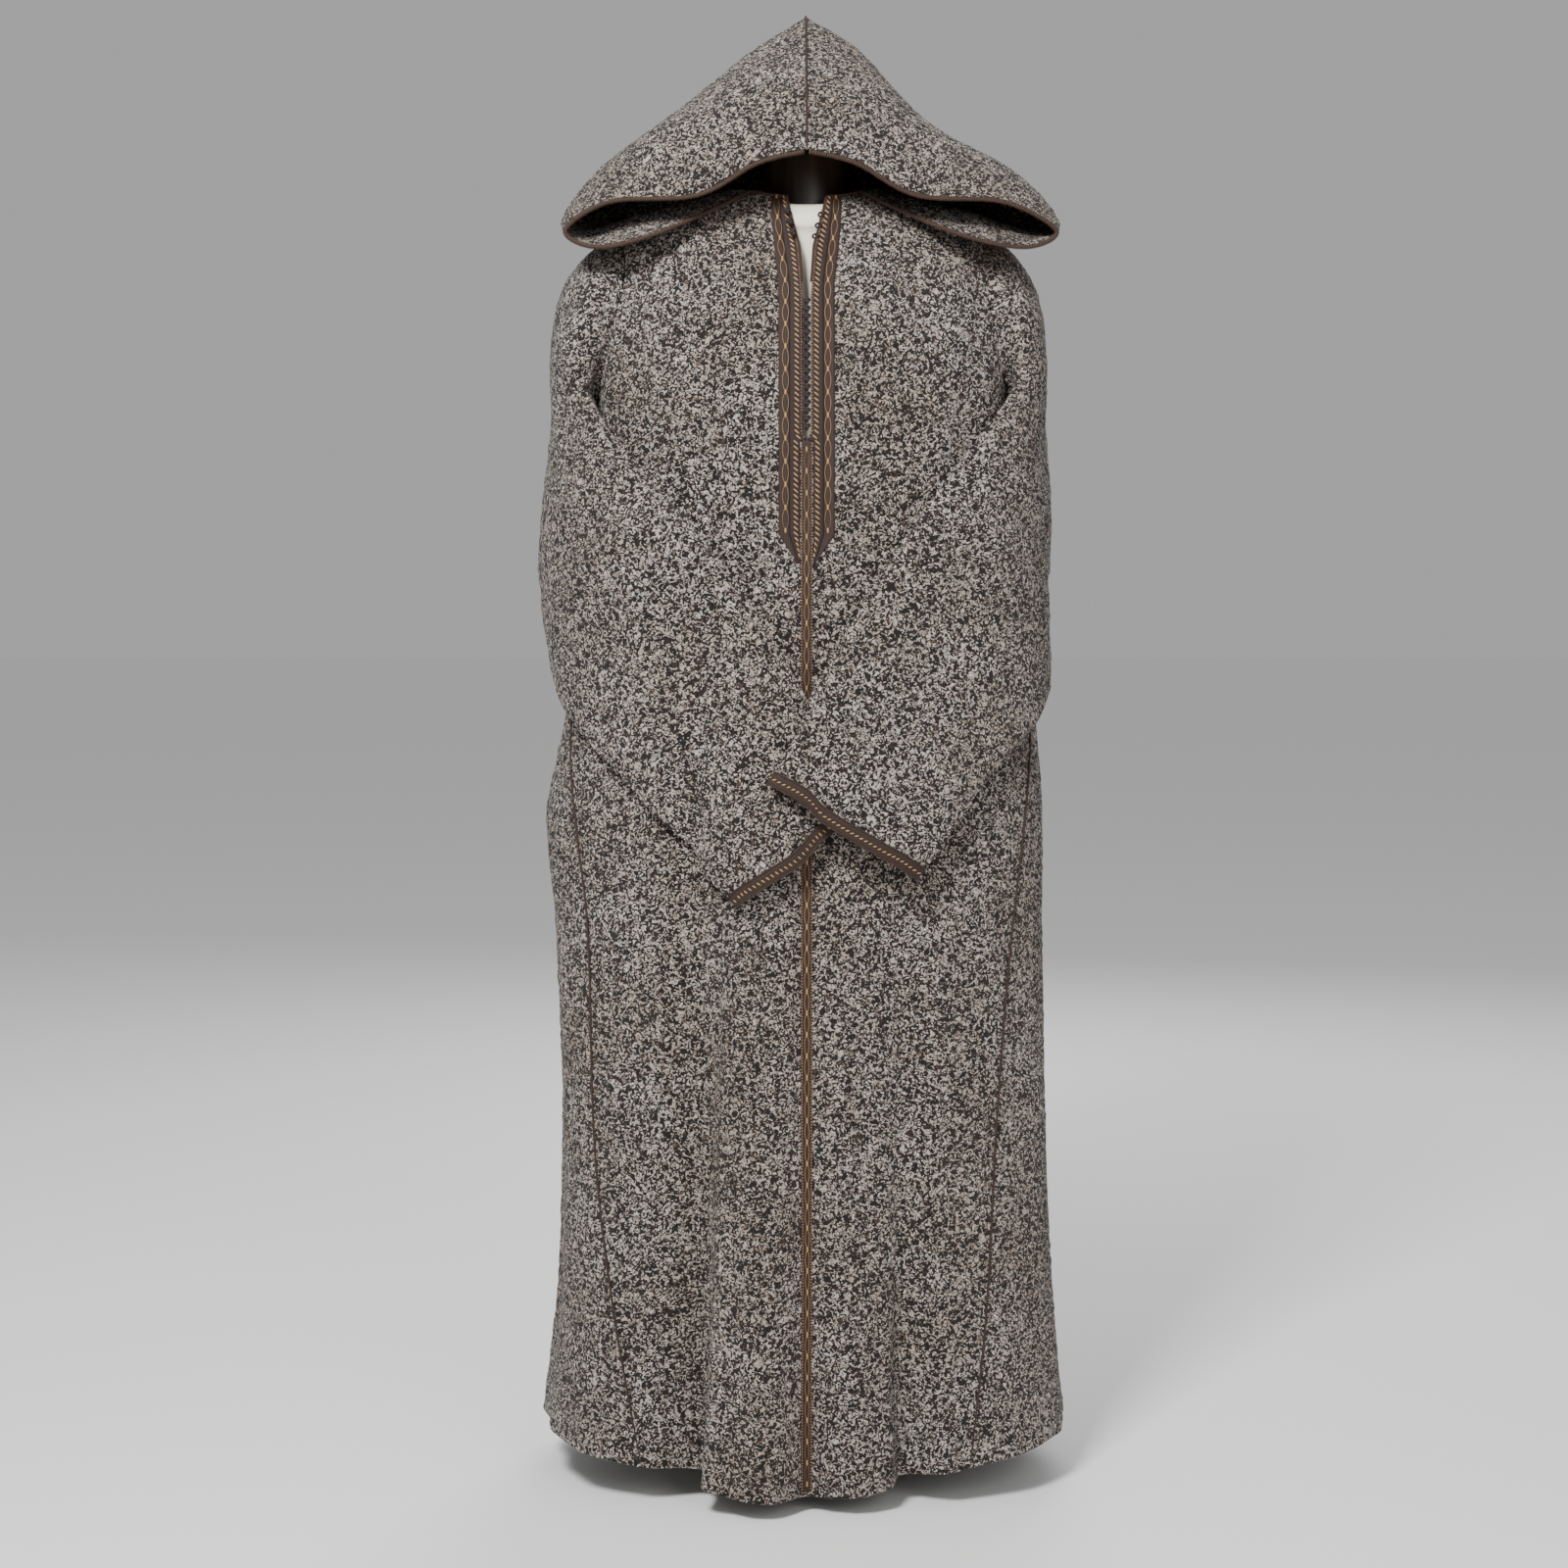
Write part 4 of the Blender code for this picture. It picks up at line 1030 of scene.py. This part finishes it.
def cuff_chart(points, normals):
    """Points and normals of a cuff in rows from its edge, and columns at an even pitch round it."""
    distances = np.linspace(0.0, CUFF_CHART_DEPTH, round(CUFF_CHART_DEPTH / CUFF_CHART_STEP) + 1)
    ends = points[::-1]
    end_normals = normals[::-1]
    columns = []
    column_normals = []
    for column in range(ends.shape[1]):
        gone = lengths_along(ends[:CUFF_CHART_ROWS, column])
        row = np.interp(distances, gone, np.arange(CUFF_CHART_ROWS))
        place = np.full(len(row), float(column))
        columns.append(read_grid(ends, row, place))
        column_normals.append(read_grid(end_normals, row, place))
    chart = np.stack(columns, axis=1)
    chart_normals = np.stack(column_normals, axis=1)
    length = lengths_along(chart[0])
    wanted = at_even_pitch(np.arange(len(length)), length, CUFF_ROUND_STEP)
    row, column = np.meshgrid(np.arange(len(distances), dtype=float), wanted, indexing="ij")
    return read_grid(chart, row, column), unit(read_grid(chart_normals, row, column)), length[-1]


def on_cuff(chart, away, along):
    """Point and normal at a distance from the cuff's edge and along its round, in metres."""
    points, normals, length = chart
    row = away / CUFF_CHART_STEP
    column = (along % length) / length * (points.shape[1] - 1)
    return read_grid(points, row, column), unit(read_grid(normals, row, column))


def make_cuffs(sleeves, braid, brown, gold):
    for side, name, _table in SLEEVES:
        chart = cuff_chart(*sleeves[side])
        length = chart[2]
        count = chart[0].shape[1]
        along = np.linspace(0, length, count)
        along[-1] = 0.0
        away, around = np.meshgrid(STRIP_SHARES * CUFF_BRAID_WIDTH, along, indexing="ij")
        points, normals = on_cuff(chart, away, around)
        points = points + normals * STRIP_LIFTS[:, None, None]
        points[:, -1] = points[:, 0]
        node = f"cuff_braid_{name}"
        band = laid_braid(f"{node}_plait", points[::-1], braid, node, closed=True)
        stitches = round(length / CUFF_STITCH_PITCH)
        middle = (np.arange(stitches) / stitches * length)[:, None]
        share = np.linspace(-0.5, 0.5, 5)
        lean = CUFF_STROKE_LEAN[side]
        around = middle + CUFF_STITCH_LENGTH * math.cos(lean) * share
        away = CUFF_BRAID_WIDTH / 2 + CUFF_STITCH_LENGTH * math.sin(lean) * share
        paths, normals = on_cuff(chart, np.broadcast_to(away, around.shape), around)
        paths = paths + normals * DASH_LIFT
        sewn_thread(f"cuff_{name}_stitches", [(paths, normals)], CUFF_STITCH_RADIUS, gold)
        for edge, away in (("edge", 0.0006), ("inner", CUFF_BRAID_WIDTH + 0.0004)):
            path, normals = on_cuff(chart, np.full(count, away), along)
            path = path + normals * CUFF_CORD_RADIUS
            cord = threads(
                f"cuff_{name}_{edge}_cord", path[None], normals[None], CUFF_CORD_RADIUS, closed=True,
            )
            finish_piece(cord, brown, "knotted_cord")


def read_path(path, length, place):
    """Values along a path at the lengths asked for."""
    return np.stack([np.interp(place, length, path[:, axis]) for axis in range(3)], axis=-1)


def stitch_middles(length):
    """Places of whip stitches at an even pitch along a cord."""
    return (np.arange(int(length[-1] / WHIP_PITCH))[:, None] + 0.5) * WHIP_PITCH


def whip_stitches(path, ahead, normals):
    """Paths of stitches that go over the rim's cord, from one side of the cloth to the other."""
    length = lengths_along(path)
    below = 0.15 * math.pi
    turn = np.linspace(-below, math.pi + below, 9)
    slant = np.linspace(-0.5, 0.5, len(turn)) * WHIP_PITCH * 0.8
    behind = np.where(np.sin(turn) < 0, RIM_STITCH_REACH * -np.sin(turn) / math.sin(below), 0.0)
    place = stitch_middles(length) + slant
    forward = unit(read_path(ahead, length, place))
    outward = unit(read_path(normals, length, place))
    around = outward * np.cos(turn)[:, None] + forward * np.sin(turn)[:, None]
    over_cord = around * (RIM_CORD_RADIUS + RIM_STITCH_CLEAR)
    return read_path(path, length, place) + over_cord - forward * behind[:, None], around


def make_hood_cords(hood, brown, pale_brown):
    """Cords on the hood's rim and centre seam, and the stitches over them."""
    stitches = []
    for side, name in SIDES:
        points, normals = hood[side]
        rim = points[0] - normals[0] * CLOTH / 2
        ahead = unit(points[0] - points[1])
        path = rim + ahead * (RIM_CORD_RADIUS + RIM_CORD_GAP)
        path[..., 0] = side * np.maximum(side * path[..., 0], RIM_CORD_RADIUS)
        piece = long_thread(f"hood_cord_{name}_twist", path, normals[0], RIM_CORD_RADIUS)
        finish_piece(piece, brown, "knotted_cord", f"hood_cord_{name}")
        stitches.append(whip_stitches(path, ahead, normals[0]))
    sewn_thread("hood_rim_stitches", stitches, RIM_STITCH_RADIUS, pale_brown)
    seam = (hood[-1][0][:, -1] + hood[1][0][:, -1]) / 2
    facing = unit(hood[-1][1][:, -1] + hood[1][1][:, -1])
    radius, lift = HOOD_SEAM_CORD
    piece = long_thread("hood_seam_cord", seam + facing * lift, facing, radius)
    finish_piece(piece, brown, "knotted_cord")


def make_neck_cords(brown, pale_brown):
    """Cord round the front of the neckline, up to the slit, with its stitches."""
    radius, lift = NECK_CORD
    for side, name in SIDES:
        rising = centre_levels(NECK_CORD_LOW_Z, NECK_CORD_TOP_Z, NECK_CORD_STEP)
        edge = centre_angle(slit_distance(centre_z(rising)) - NECK_CORD_INSET, rising)
        round_neck = np.linspace(edge[-1], math.radians(NECK_CORD_END_DEGREES), 70)[1:]
        angle = side * np.concatenate([edge, round_neck])
        level = np.concatenate([rising, np.full(len(round_neck), rising[-1])])
        path, normals = robe_frame(angle, level, lift)
        piece = long_thread(f"neckline_cord_{name}", path, normals, radius)
        finish_piece(piece, brown, "knotted_cord")
        length = lengths_along(path)
        share = np.linspace(-0.5, 0.5, 7)
        place = stitch_middles(length) + share * NECK_STITCH_RUN
        outward = unit(read_path(normals, length, place))
        run = unit(read_path(np.gradient(path, axis=0), length, place))
        aside = unit(np.cross(run, outward))
        turn = (share * 1.3 * math.pi)[None, :, None]
        around = outward * np.cos(turn) + aside * np.sin(turn)
        stitches = read_path(path, length, place) + around * (radius + NECK_STITCH_CLEAR)
        piece = threads(f"neckline_stitches_{name}", stitches, around, NECK_STITCH_RADIUS)
        finish_piece(piece, pale_brown, "silk_braid")


def make_seam_threads(brown):
    """Cord couched over the four long seams, left off beside the side slit."""
    radius, lift = SEAM_CORD
    levels = level_rows(0.02, UNDERARM_LEVEL)
    made = []
    for angle in (-front_edge(-1, levels), front_edge(1, levels), back_edge(levels)):
        points, normals = robe_frame(angle, levels, lift)
        made.append((points[None], normals[None]))
    sewn_thread("seam_threads", made, radius, brown)
    points, normals = robe_frame(-back_edge(levels), levels, lift)
    away = points[:, 2] - SIDE_SLIT_Z
    for name, run in (("low", away < -SIDE_SLIT_HALF), ("high", away > SIDE_SLIT_HALF)):
        piece = long_thread(f"side_slit_seam_{name}", points[run], normals[run], radius)
        finish_piece(piece, brown, "silk_braid")


def knot_paths(centres, outward, size):
    """Closed paths of a three-lobed knot laid round a ball, facing outward."""
    turn = np.linspace(0, 2 * math.pi, 37)
    across = (np.sin(turn) + 2 * np.sin(2 * turn)) / 3
    upward = (np.cos(turn) - 2 * np.cos(2 * turn)) / 3
    rise = -np.sin(3 * turn) * 0.30
    side = unit(np.cross(np.array((0.0, 0.0, 1.0)), outward))
    top = np.cross(outward, side)
    flat = side[:, None] * across[:, None] + top[:, None] * upward[:, None]
    ball = np.sqrt(np.clip(1 - np.minimum(across**2 + upward**2, 1) * 0.9, 0, 1))
    path = centres[:, None] + size * (flat + outward[:, None] * (ball * 0.75 + rise)[:, None])
    facing = unit(flat + outward[:, None] * (ball + 0.2)[:, None])
    return path, facing


def knot_cores(name, centres, size):
    """Round cores of the knotted buttons, joined as one piece."""
    tilt = np.linspace(0, math.pi, 9)[:, None]
    turn = np.linspace(0, 2 * math.pi, 13)
    rise = np.broadcast_to(np.cos(tilt), (len(tilt), len(turn)))
    ball = np.stack([np.sin(tilt) * np.cos(turn), np.sin(tilt) * np.sin(turn), rise], axis=-1)
    return round_off(joined_grids(name, centres[:, None, None] + ball * size))


def make_buttons(dark):
    """Knotted balls down the slit and beside the neck, and the loops that take the neck's."""
    heights = np.linspace(BUTTON_HIGHEST_Z, BUTTON_LOWEST_Z, BUTTON_COUNT)
    levels = level_at(np.zeros(BUTTON_COUNT), heights)
    row, row_normals = robe_frame(np.zeros(BUTTON_COUNT), levels, 0.001)
    neck_levels = level_at(np.zeros(3), np.array(NECK_BUTTON_HEIGHTS))
    away = slit_distance(np.array(NECK_BUTTON_HEIGHTS)) + NECK_BUTTON_INSET
    neck, neck_normals = place_on_front(-1, away, neck_levels, 0.0014 + BUTTON_RADIUS)
    row_nodes = [f"button_{number:02d}" for number in range(1, BUTTON_COUNT + 1)]
    neck_nodes = [f"neck_button_{number}" for number in (1, 2, 3)]
    rows = (("button_row", row, row_normals, row_nodes), ("neck_buttons", neck, neck_normals, neck_nodes))
    for name, centres, outward, nodes in rows:
        core = knot_cores(f"{name}_cores", centres, BUTTON_RADIUS * 0.80)
        finish_piece(core, dark, "knotted_cord", *nodes)
        paths, facing = knot_paths(centres, outward, BUTTON_RADIUS * 0.82)
        knot = threads(f"{name}_knots", paths, facing, BUTTON_RADIUS * 0.30, closed=True)
        finish_piece(knot, dark, "knotted_cord", *nodes)
    share = np.linspace(0, 1, LOOP_POINTS)
    height = np.array(LOOP_HEIGHTS)[:, None] + LOOP_SWING * np.sin(share * 2 * math.pi)
    distance = slit_distance(height) + NECK_BUTTON_INSET - LOOP_REACH * np.sin(share * math.pi)
    points, normals = place_on_front(1, distance, level_at(0.0, height), LOOP_LIFT)
    loops = threads("neck_loops", points, normals, LOOP_RADIUS)
    finish_piece(loops, dark, "knotted_cord")


# Dress form


def round_ring(angles, radius, z):
    height = np.broadcast_to(z, angles.shape)
    return np.stack([radius * np.sin(angles), -radius * np.cos(angles), height], axis=-1)


def form_ring(z, half_width, front, back, angles):
    depth = np.where(np.cos(angles) > 0, front, back)
    across = np.abs(np.sin(angles) / half_width) ** FORM_SQUARENESS
    along = np.abs(np.cos(angles) / depth) ** FORM_SQUARENESS
    return round_ring(angles, (across + along) ** (-1 / FORM_SQUARENESS), z)


def neck_ring(angles, radius, lift):
    """Ring round the foot of the neck, lower at the front than at the back."""
    middle = (NECK_FRONT_Z + NECK_BACK_Z) / 2 + lift
    return round_ring(angles, radius, middle - np.cos(angles) * (NECK_BACK_Z - NECK_FRONT_Z) / 2)


def closed_body(name, rings, steps):
    """A smooth closed form through rings, its two ends drawn in to a point."""
    rows = smooth_rows(np.array(rings), np.linspace(0, len(rings) - 1, steps))
    low = np.broadcast_to(rows[:1].mean(axis=1, keepdims=True), rows[:1].shape)
    high = np.broadcast_to(rows[-1:].mean(axis=1, keepdims=True), rows[:1].shape)
    rows = np.concatenate([low, (low + rows[:1] * 3) / 4, rows, (high + rows[-1:] * 3) / 4, high])
    piece = laid_grid(name, rows)
    in_edit_mode(piece, merge_doubles, faces_outward)
    bpy.ops.object.shade_smooth_by_angle(angle=math.radians(50))
    return piece


def make_form(jersey, neck_shadow, coat):
    angles = np.linspace(0, 2 * math.pi, FORM_COLUMNS + 1)
    rings = [form_ring(*row, angles) for row in FORM_BUST]
    for level in (10.0, 10.5, 11.0, 11.5):
        gap = FORM_SHOULDER_GAP if level == SHOULDER_LEVEL else FORM_GAP
        rings.append(body_point(angles, np.full(len(angles), level), -CLOTH - gap))
    rings.append(neck_ring(angles, NECK_RADIUS, 0.0))
    bust = closed_body("dress_form_jersey", rings, 110)
    finish_piece(bust, jersey, "jersey", "dress_form")
    # Neck cap: its dark colour is painted shade, standing in for the hood's shadow on the neck
    rings = [neck_ring(angles, NECK_RADIUS, SEAM_GAP), neck_ring(angles, NECK_RADIUS, 0.010)]
    rings += [round_ring(angles, radius, z) for z, radius in NECK_CAP]
    neck = closed_body("neck_cap_turned", rings, 40)
    finish_piece(neck, neck_shadow, "dark_wood", "neck_cap")
    for node in ("pole", "base_plate"):
        bpy.data.objects[node].data.materials.clear()
        bpy.data.objects[node].data.materials.append(coat)


# Materials

# Threads and cords: name, dark and light tone, roughness, scale of the twist
THREADS = (
    ("purple brown braid", (0.004, 0.0010, 0.0008), (0.024, 0.0060, 0.0042), 0.75, 900.0),
    ("gold silk", (0.24, 0.125, 0.038), (0.58, 0.36, 0.145), 0.45, 1600.0),
    ("old gold silk", (0.13, 0.062, 0.018), (0.38, 0.21, 0.075), 0.5, 1600.0),
    ("pinkish gold silk", (0.22, 0.11, 0.060), (0.48, 0.29, 0.18), 0.5, 1600.0),
    ("brown cord", (0.006, 0.0025, 0.0012), (0.050, 0.020, 0.009), 0.75, 1100.0),
    ("brown stitching", (0.022, 0.0095, 0.0045), (0.095, 0.046, 0.024), 0.70, 1300.0),
    ("dark knotted silk", (0.004, 0.0015, 0.002), (0.028, 0.010, 0.012), 0.6, 1400.0),
)


def add_node(tree, kind, place, feeds=None, **values):
    """Adds a node with its values, and links the sockets that feed it."""
    node = tree.nodes.new(kind)
    node.location = place
    for key, value in values.items():
        if hasattr(node, key):
            setattr(node, key, value)
        else:
            node.inputs[key].default_value = value
    for key, socket in (feeds or {}).items():
        tree.links.new(socket, node.inputs[key])
    return node


def new_surface(name, roughness, sheen=0.0):
    surface = bpy.data.materials.new(name)
    surface.use_nodes = True
    tree = surface.node_tree
    shader = tree.nodes["Principled BSDF"]
    shader.inputs["Roughness"].default_value = roughness
    shader.inputs["Sheen Weight"].default_value = sheen
    shader.inputs["Sheen Roughness"].default_value = 0.5
    return surface, tree, shader


def ramp(tree, place, share, *stops):
    """Colours along a band, read at a share. Gives back the colour's socket."""
    node = add_node(tree, "ShaderNodeValToRGB", place, {"Fac": share})
    band = node.color_ramp
    for index, (where, colour) in enumerate(stops):
        stop = band.elements[index] if index < 2 else band.elements.new(where)
        stop.position = where
        stop.color = (*colour, 1.0)
    return node.outputs["Color"]


def multiplied(tree, place, factor, first, second):
    feeds = {6: first, 7: second}
    values = {"data_type": "RGBA", "blend_type": "MULTIPLY", "Factor": factor}
    return add_node(tree, "ShaderNodeMix", place, feeds, **values).outputs[2]


def dress_shader(tree, shader, colour, height, strength, distance):
    """Gives a shader its colour and its relief."""
    feeds = {"Height": height}
    bump = add_node(tree, "ShaderNodeBump", (-200, -300), feeds, Strength=strength, Distance=distance)
    tree.links.new(colour, shader.inputs["Base Color"])
    tree.links.new(bump.outputs["Normal"], shader.inputs["Normal"])


def tweed_surface():
    """Nubby wool: light and dark curls a few millimetres across, with warm brown ones."""
    surface, tree, shader = new_surface("wool tweed", 0.95, sheen=0.06)
    coords = add_node(tree, "ShaderNodeTexCoord", (-1400, 0)).outputs["Object"]
    spots = {"Vector": coords}
    warp = add_node(tree, "ShaderNodeTexNoise", (-1200, -200), spots, Scale=170.0, Detail=2.0)
    feeds = {0: warp.outputs["Color"]}
    centred = add_node(tree, "ShaderNodeVectorMath", (-1000, -200), feeds, operation="SUBTRACT")
    centred.inputs[1].default_value = (0.5, 0.5, 0.5)
    feeds = {0: centred.outputs["Vector"]}
    scaled = add_node(tree, "ShaderNodeVectorMath", (-850, -200), feeds, operation="SCALE", Scale=0.012)
    feeds = {0: coords, 1: scaled.outputs["Vector"]}
    moved = add_node(tree, "ShaderNodeVectorMath", (-700, 0), feeds, operation="ADD")
    feeds = {"Vector": moved.outputs["Vector"]}
    curls = add_node(tree, "ShaderNodeTexVoronoi", (-500, 100), feeds, Scale=520.0, Randomness=1.0)
    pick = add_node(tree, "ShaderNodeSeparateColor", (-320, 200), {"Color": curls.outputs["Color"]})
    yarn = ramp(
        tree, (-150, 250), pick.outputs["Red"],
        (0.0, (0.002, 0.0008, 0.0004)), (0.49, (0.007, 0.0028, 0.0012)), (0.58, (0.060, 0.024, 0.009)),
        (0.625, (0.17, 0.11, 0.075)), (0.67, (0.62, 0.57, 0.53)), (0.84, (0.97, 0.96, 0.95)),
    )
    middle = curls.outputs["Distance"]
    shade = ramp(tree, (-150, -50), middle, (0.0, (1.0, 1.0, 1.0)), (0.85, (0.30, 0.27, 0.25)))
    patches = add_node(tree, "ShaderNodeTexNoise", (-150, -300), spots, Scale=9.0, Detail=3.0)
    brown_patch = (0.35, (0.75, 0.65, 0.56))
    pale_patch = (0.65, (0.94, 0.885, 0.82))
    tint = ramp(tree, (50, -300), patches.outputs["Fac"], brown_patch, pale_patch)
    darker = multiplied(tree, (150, 200), 0.85, yarn, shade)
    fibre = add_node(tree, "ShaderNodeTexNoise", (-500, -500), spots, Scale=1500.0, Detail=2.0)
    feeds = {0: middle, 2: fibre.outputs["Fac"]}
    height = add_node(tree, "ShaderNodeMath", (-100, -500), feeds, operation="MULTIPLY_ADD")
    height.inputs[1].default_value = -1.0
    colour = multiplied(tree, (330, 150), 1.0, darker, tint)
    dress_shader(tree, shader, colour, height.outputs["Value"], 0.9, 0.0022)
    return surface


def two_tone_surface(name, roughness, sheen, spread, tones, bumps, stretch=None, relief=None):
    """Two tones of a noise, with a relief from the same noise or from a texture of its own."""
    surface, tree, shader = new_surface(name, roughness, sheen=sheen)
    coords = add_node(tree, "ShaderNodeTexCoord", (-1100, 0)).outputs["Object"]
    place = coords
    if stretch:
        drawn = add_node(tree, "ShaderNodeMapping", (-900, 0), {"Vector": coords}, Scale=stretch)
        place = drawn.outputs["Vector"]
    noise = add_node(tree, "ShaderNodeTexNoise", (-700, 0), {"Vector": place}, **spread)
    height = noise.outputs["Fac"]
    colour = ramp(tree, (-450, 0), height, *tones)
    if relief:
        kind, output, values = relief
        height = add_node(tree, kind, (-700, -250), {"Vector": coords}, **values).outputs[output]
    dress_shader(tree, shader, colour, height, *bumps)
    return surface, shader


def thread_surface(name, dark, light, roughness, scale):
    """Thread or braid with a fine twist in two tones."""
    spread = {"Scale": scale, "Detail": 3.0, "Roughness": 0.6}
    return two_tone_surface(name, roughness, 0.03, spread, ((0.32, dark), (0.68, light)), (0.6, 0.0005))[0]


def braid_surface():
    """Plaited braid: slanting ribs across its own width, read from its own map in metres."""
    surface, tree, shader = new_surface("plaited braid", 0.7, sheen=0.03)
    coords = add_node(tree, "ShaderNodeTexCoord", (-1100, 0)).outputs
    slant = (0.0, 0.0, math.radians(32))
    turned = add_node(tree, "ShaderNodeMapping", (-900, 0), {"Vector": coords["UV"]}, Rotation=slant)
    feeds = {"Vector": turned.outputs["Vector"]}
    ribs = add_node(tree, "ShaderNodeTexWave", (-700, 100), feeds, Scale=150.0, Distortion=1.2, Detail=1.0)
    feeds = {"Vector": coords["Object"]}
    grain = add_node(tree, "ShaderNodeTexNoise", (-700, -200), feeds, Scale=900.0, Detail=2.0)
    feeds = {0: grain.outputs["Fac"]}
    fine = add_node(tree, "ShaderNodeMath", (-620, -350), feeds, operation="MULTIPLY")
    fine.inputs[1].default_value = 0.4
    feeds = {0: ribs.outputs["Fac"], 2: fine.outputs["Value"]}
    both = add_node(tree, "ShaderNodeMath", (-480, 0), feeds, operation="MULTIPLY_ADD")
    both.inputs[1].default_value = 0.6
    height = both.outputs["Value"]
    dark_tone = (0.15, (0.003, 0.0009, 0.0003))
    light_tone = (0.85, (0.036, 0.0115, 0.0036))
    colour = ramp(tree, (-300, 100), height, dark_tone, light_tone)
    dress_shader(tree, shader, colour, height, 0.8, 0.0006)
    return surface


def jersey_surface():
    """Cream jersey with a fine knit and faint marks."""
    tones = ((0.3, (0.88, 0.82, 0.66)), (0.7, (0.95, 0.91, 0.77)))
    knit = ("ShaderNodeTexVoronoi", "Distance", {"Scale": 900.0})
    spread = {"Scale": 7.0, "Detail": 4.0}
    return two_tone_surface("cream jersey", 0.85, 0.3, spread, tones, (0.35, 0.0005), relief=knit)[0]


def painted_shadow_neck_surface():
    """Dark neck cap with a fine upright grain: its dark colour is painted shade for the hood's shadow on
    the neck.
    """
    tones = ((0.3, (0.012, 0.007, 0.004)), (0.7, (0.040, 0.022, 0.012)))
    spread = {"Scale": 2.0, "Detail": 5.0}
    grain = (60.0, 60.0, 5.0)
    return two_tone_surface("painted shadow neck cap", 0.4, 0.0, spread, tones, (0.2, 0.0004), stretch=grain)[0]


def coat_surface():
    """Black powder coat with a fine orange peel."""
    tones = ((0.35, (0.020, 0.020, 0.021)), (0.7, (0.034, 0.034, 0.036)))
    peel = ("ShaderNodeTexNoise", "Fac", {"Scale": 700.0, "Detail": 2.0})
    spread = {"Scale": 14.0, "Detail": 3.0}
    bumps = (0.3, 0.0003)
    surface, shader = two_tone_surface("black powder coat", 0.5, 0.0, spread, tones, bumps, relief=peel)
    shader.inputs["Specular IOR Level"].default_value = 0.4
    return surface


# Camera, light and floor


def make_camera():
    data = bpy.data.cameras.new("photo camera")
    data.sensor_fit = "HORIZONTAL"
    data.sensor_width = 36.0
    data.lens = 36.0 * FOCAL_PIXELS / PHOTO_SIZE
    camera = bpy.data.objects.new("photo camera", data)
    sideways = (ROBE_AXIS_PIXEL - PHOTO_SIZE / 2) / FOCAL_PIXELS * CAMERA_DISTANCE
    camera.location = (-sideways, -CAMERA_DISTANCE, CAMERA_HEIGHT)
    camera.rotation_euler = (math.radians(90 - CAMERA_TILT_DEGREES), 0.0, 0.0)
    bpy.context.scene.collection.objects.link(camera)
    bpy.context.scene.camera = camera


def add_area_light(name, place, target, size, power):
    data = bpy.data.lights.new(name, "AREA")
    data.shape = "SQUARE"
    data.size = size
    data.energy = power
    light = bpy.data.objects.new(name, data)
    light.location = place
    light.rotation_euler = (Vector(target) - Vector(place)).to_track_quat("-Z", "Y").to_euler()
    bpy.context.scene.collection.objects.link(light)


def make_studio():
    world = bpy.data.worlds.new("studio")
    world.use_nodes = True
    background = world.node_tree.nodes["Background"]
    background.inputs["Color"].default_value = (1.0, 1.0, 1.0, 1.0)
    background.inputs["Strength"].default_value = WORLD_STRENGTH
    bpy.context.scene.world = world
    for light in LIGHTS:
        add_area_light(*light)
    bpy.ops.object.select_all(action="DESELECT")
    bpy.ops.mesh.primitive_plane_add(size=FLOOR_SIZE, location=(0.0, 0.0, 0.0))
    floor = bpy.context.object
    floor.name = "pale_floor"
    surface, _tree, shader = new_surface("pale floor", 0.9)
    shader.inputs["Base Color"].default_value = (0.96, 0.96, 0.955, 1.0)
    floor.data.materials.append(surface)


def main():
    wool = tweed_surface()
    make_camera()
    make_fronts(wool)
    make_gores(wool)
    make_back(wool)
    sleeves = make_sleeves(wool)
    hood = make_hood(wool)
    braid = braid_surface()
    plain, gold, old_gold, pale, brown, pale_brown, dark = [thread_surface(*row) for row in THREADS]
    make_placket(braid, plain, gold, old_gold, pale)
    make_cuffs(sleeves, braid, brown, gold)
    make_hood_cords(hood, brown, pale_brown)
    make_neck_cords(brown, pale_brown)
    make_seam_threads(brown)
    make_buttons(dark)
    make_form(jersey_surface(), painted_shadow_neck_surface(), coat_surface())
    make_studio()


main()
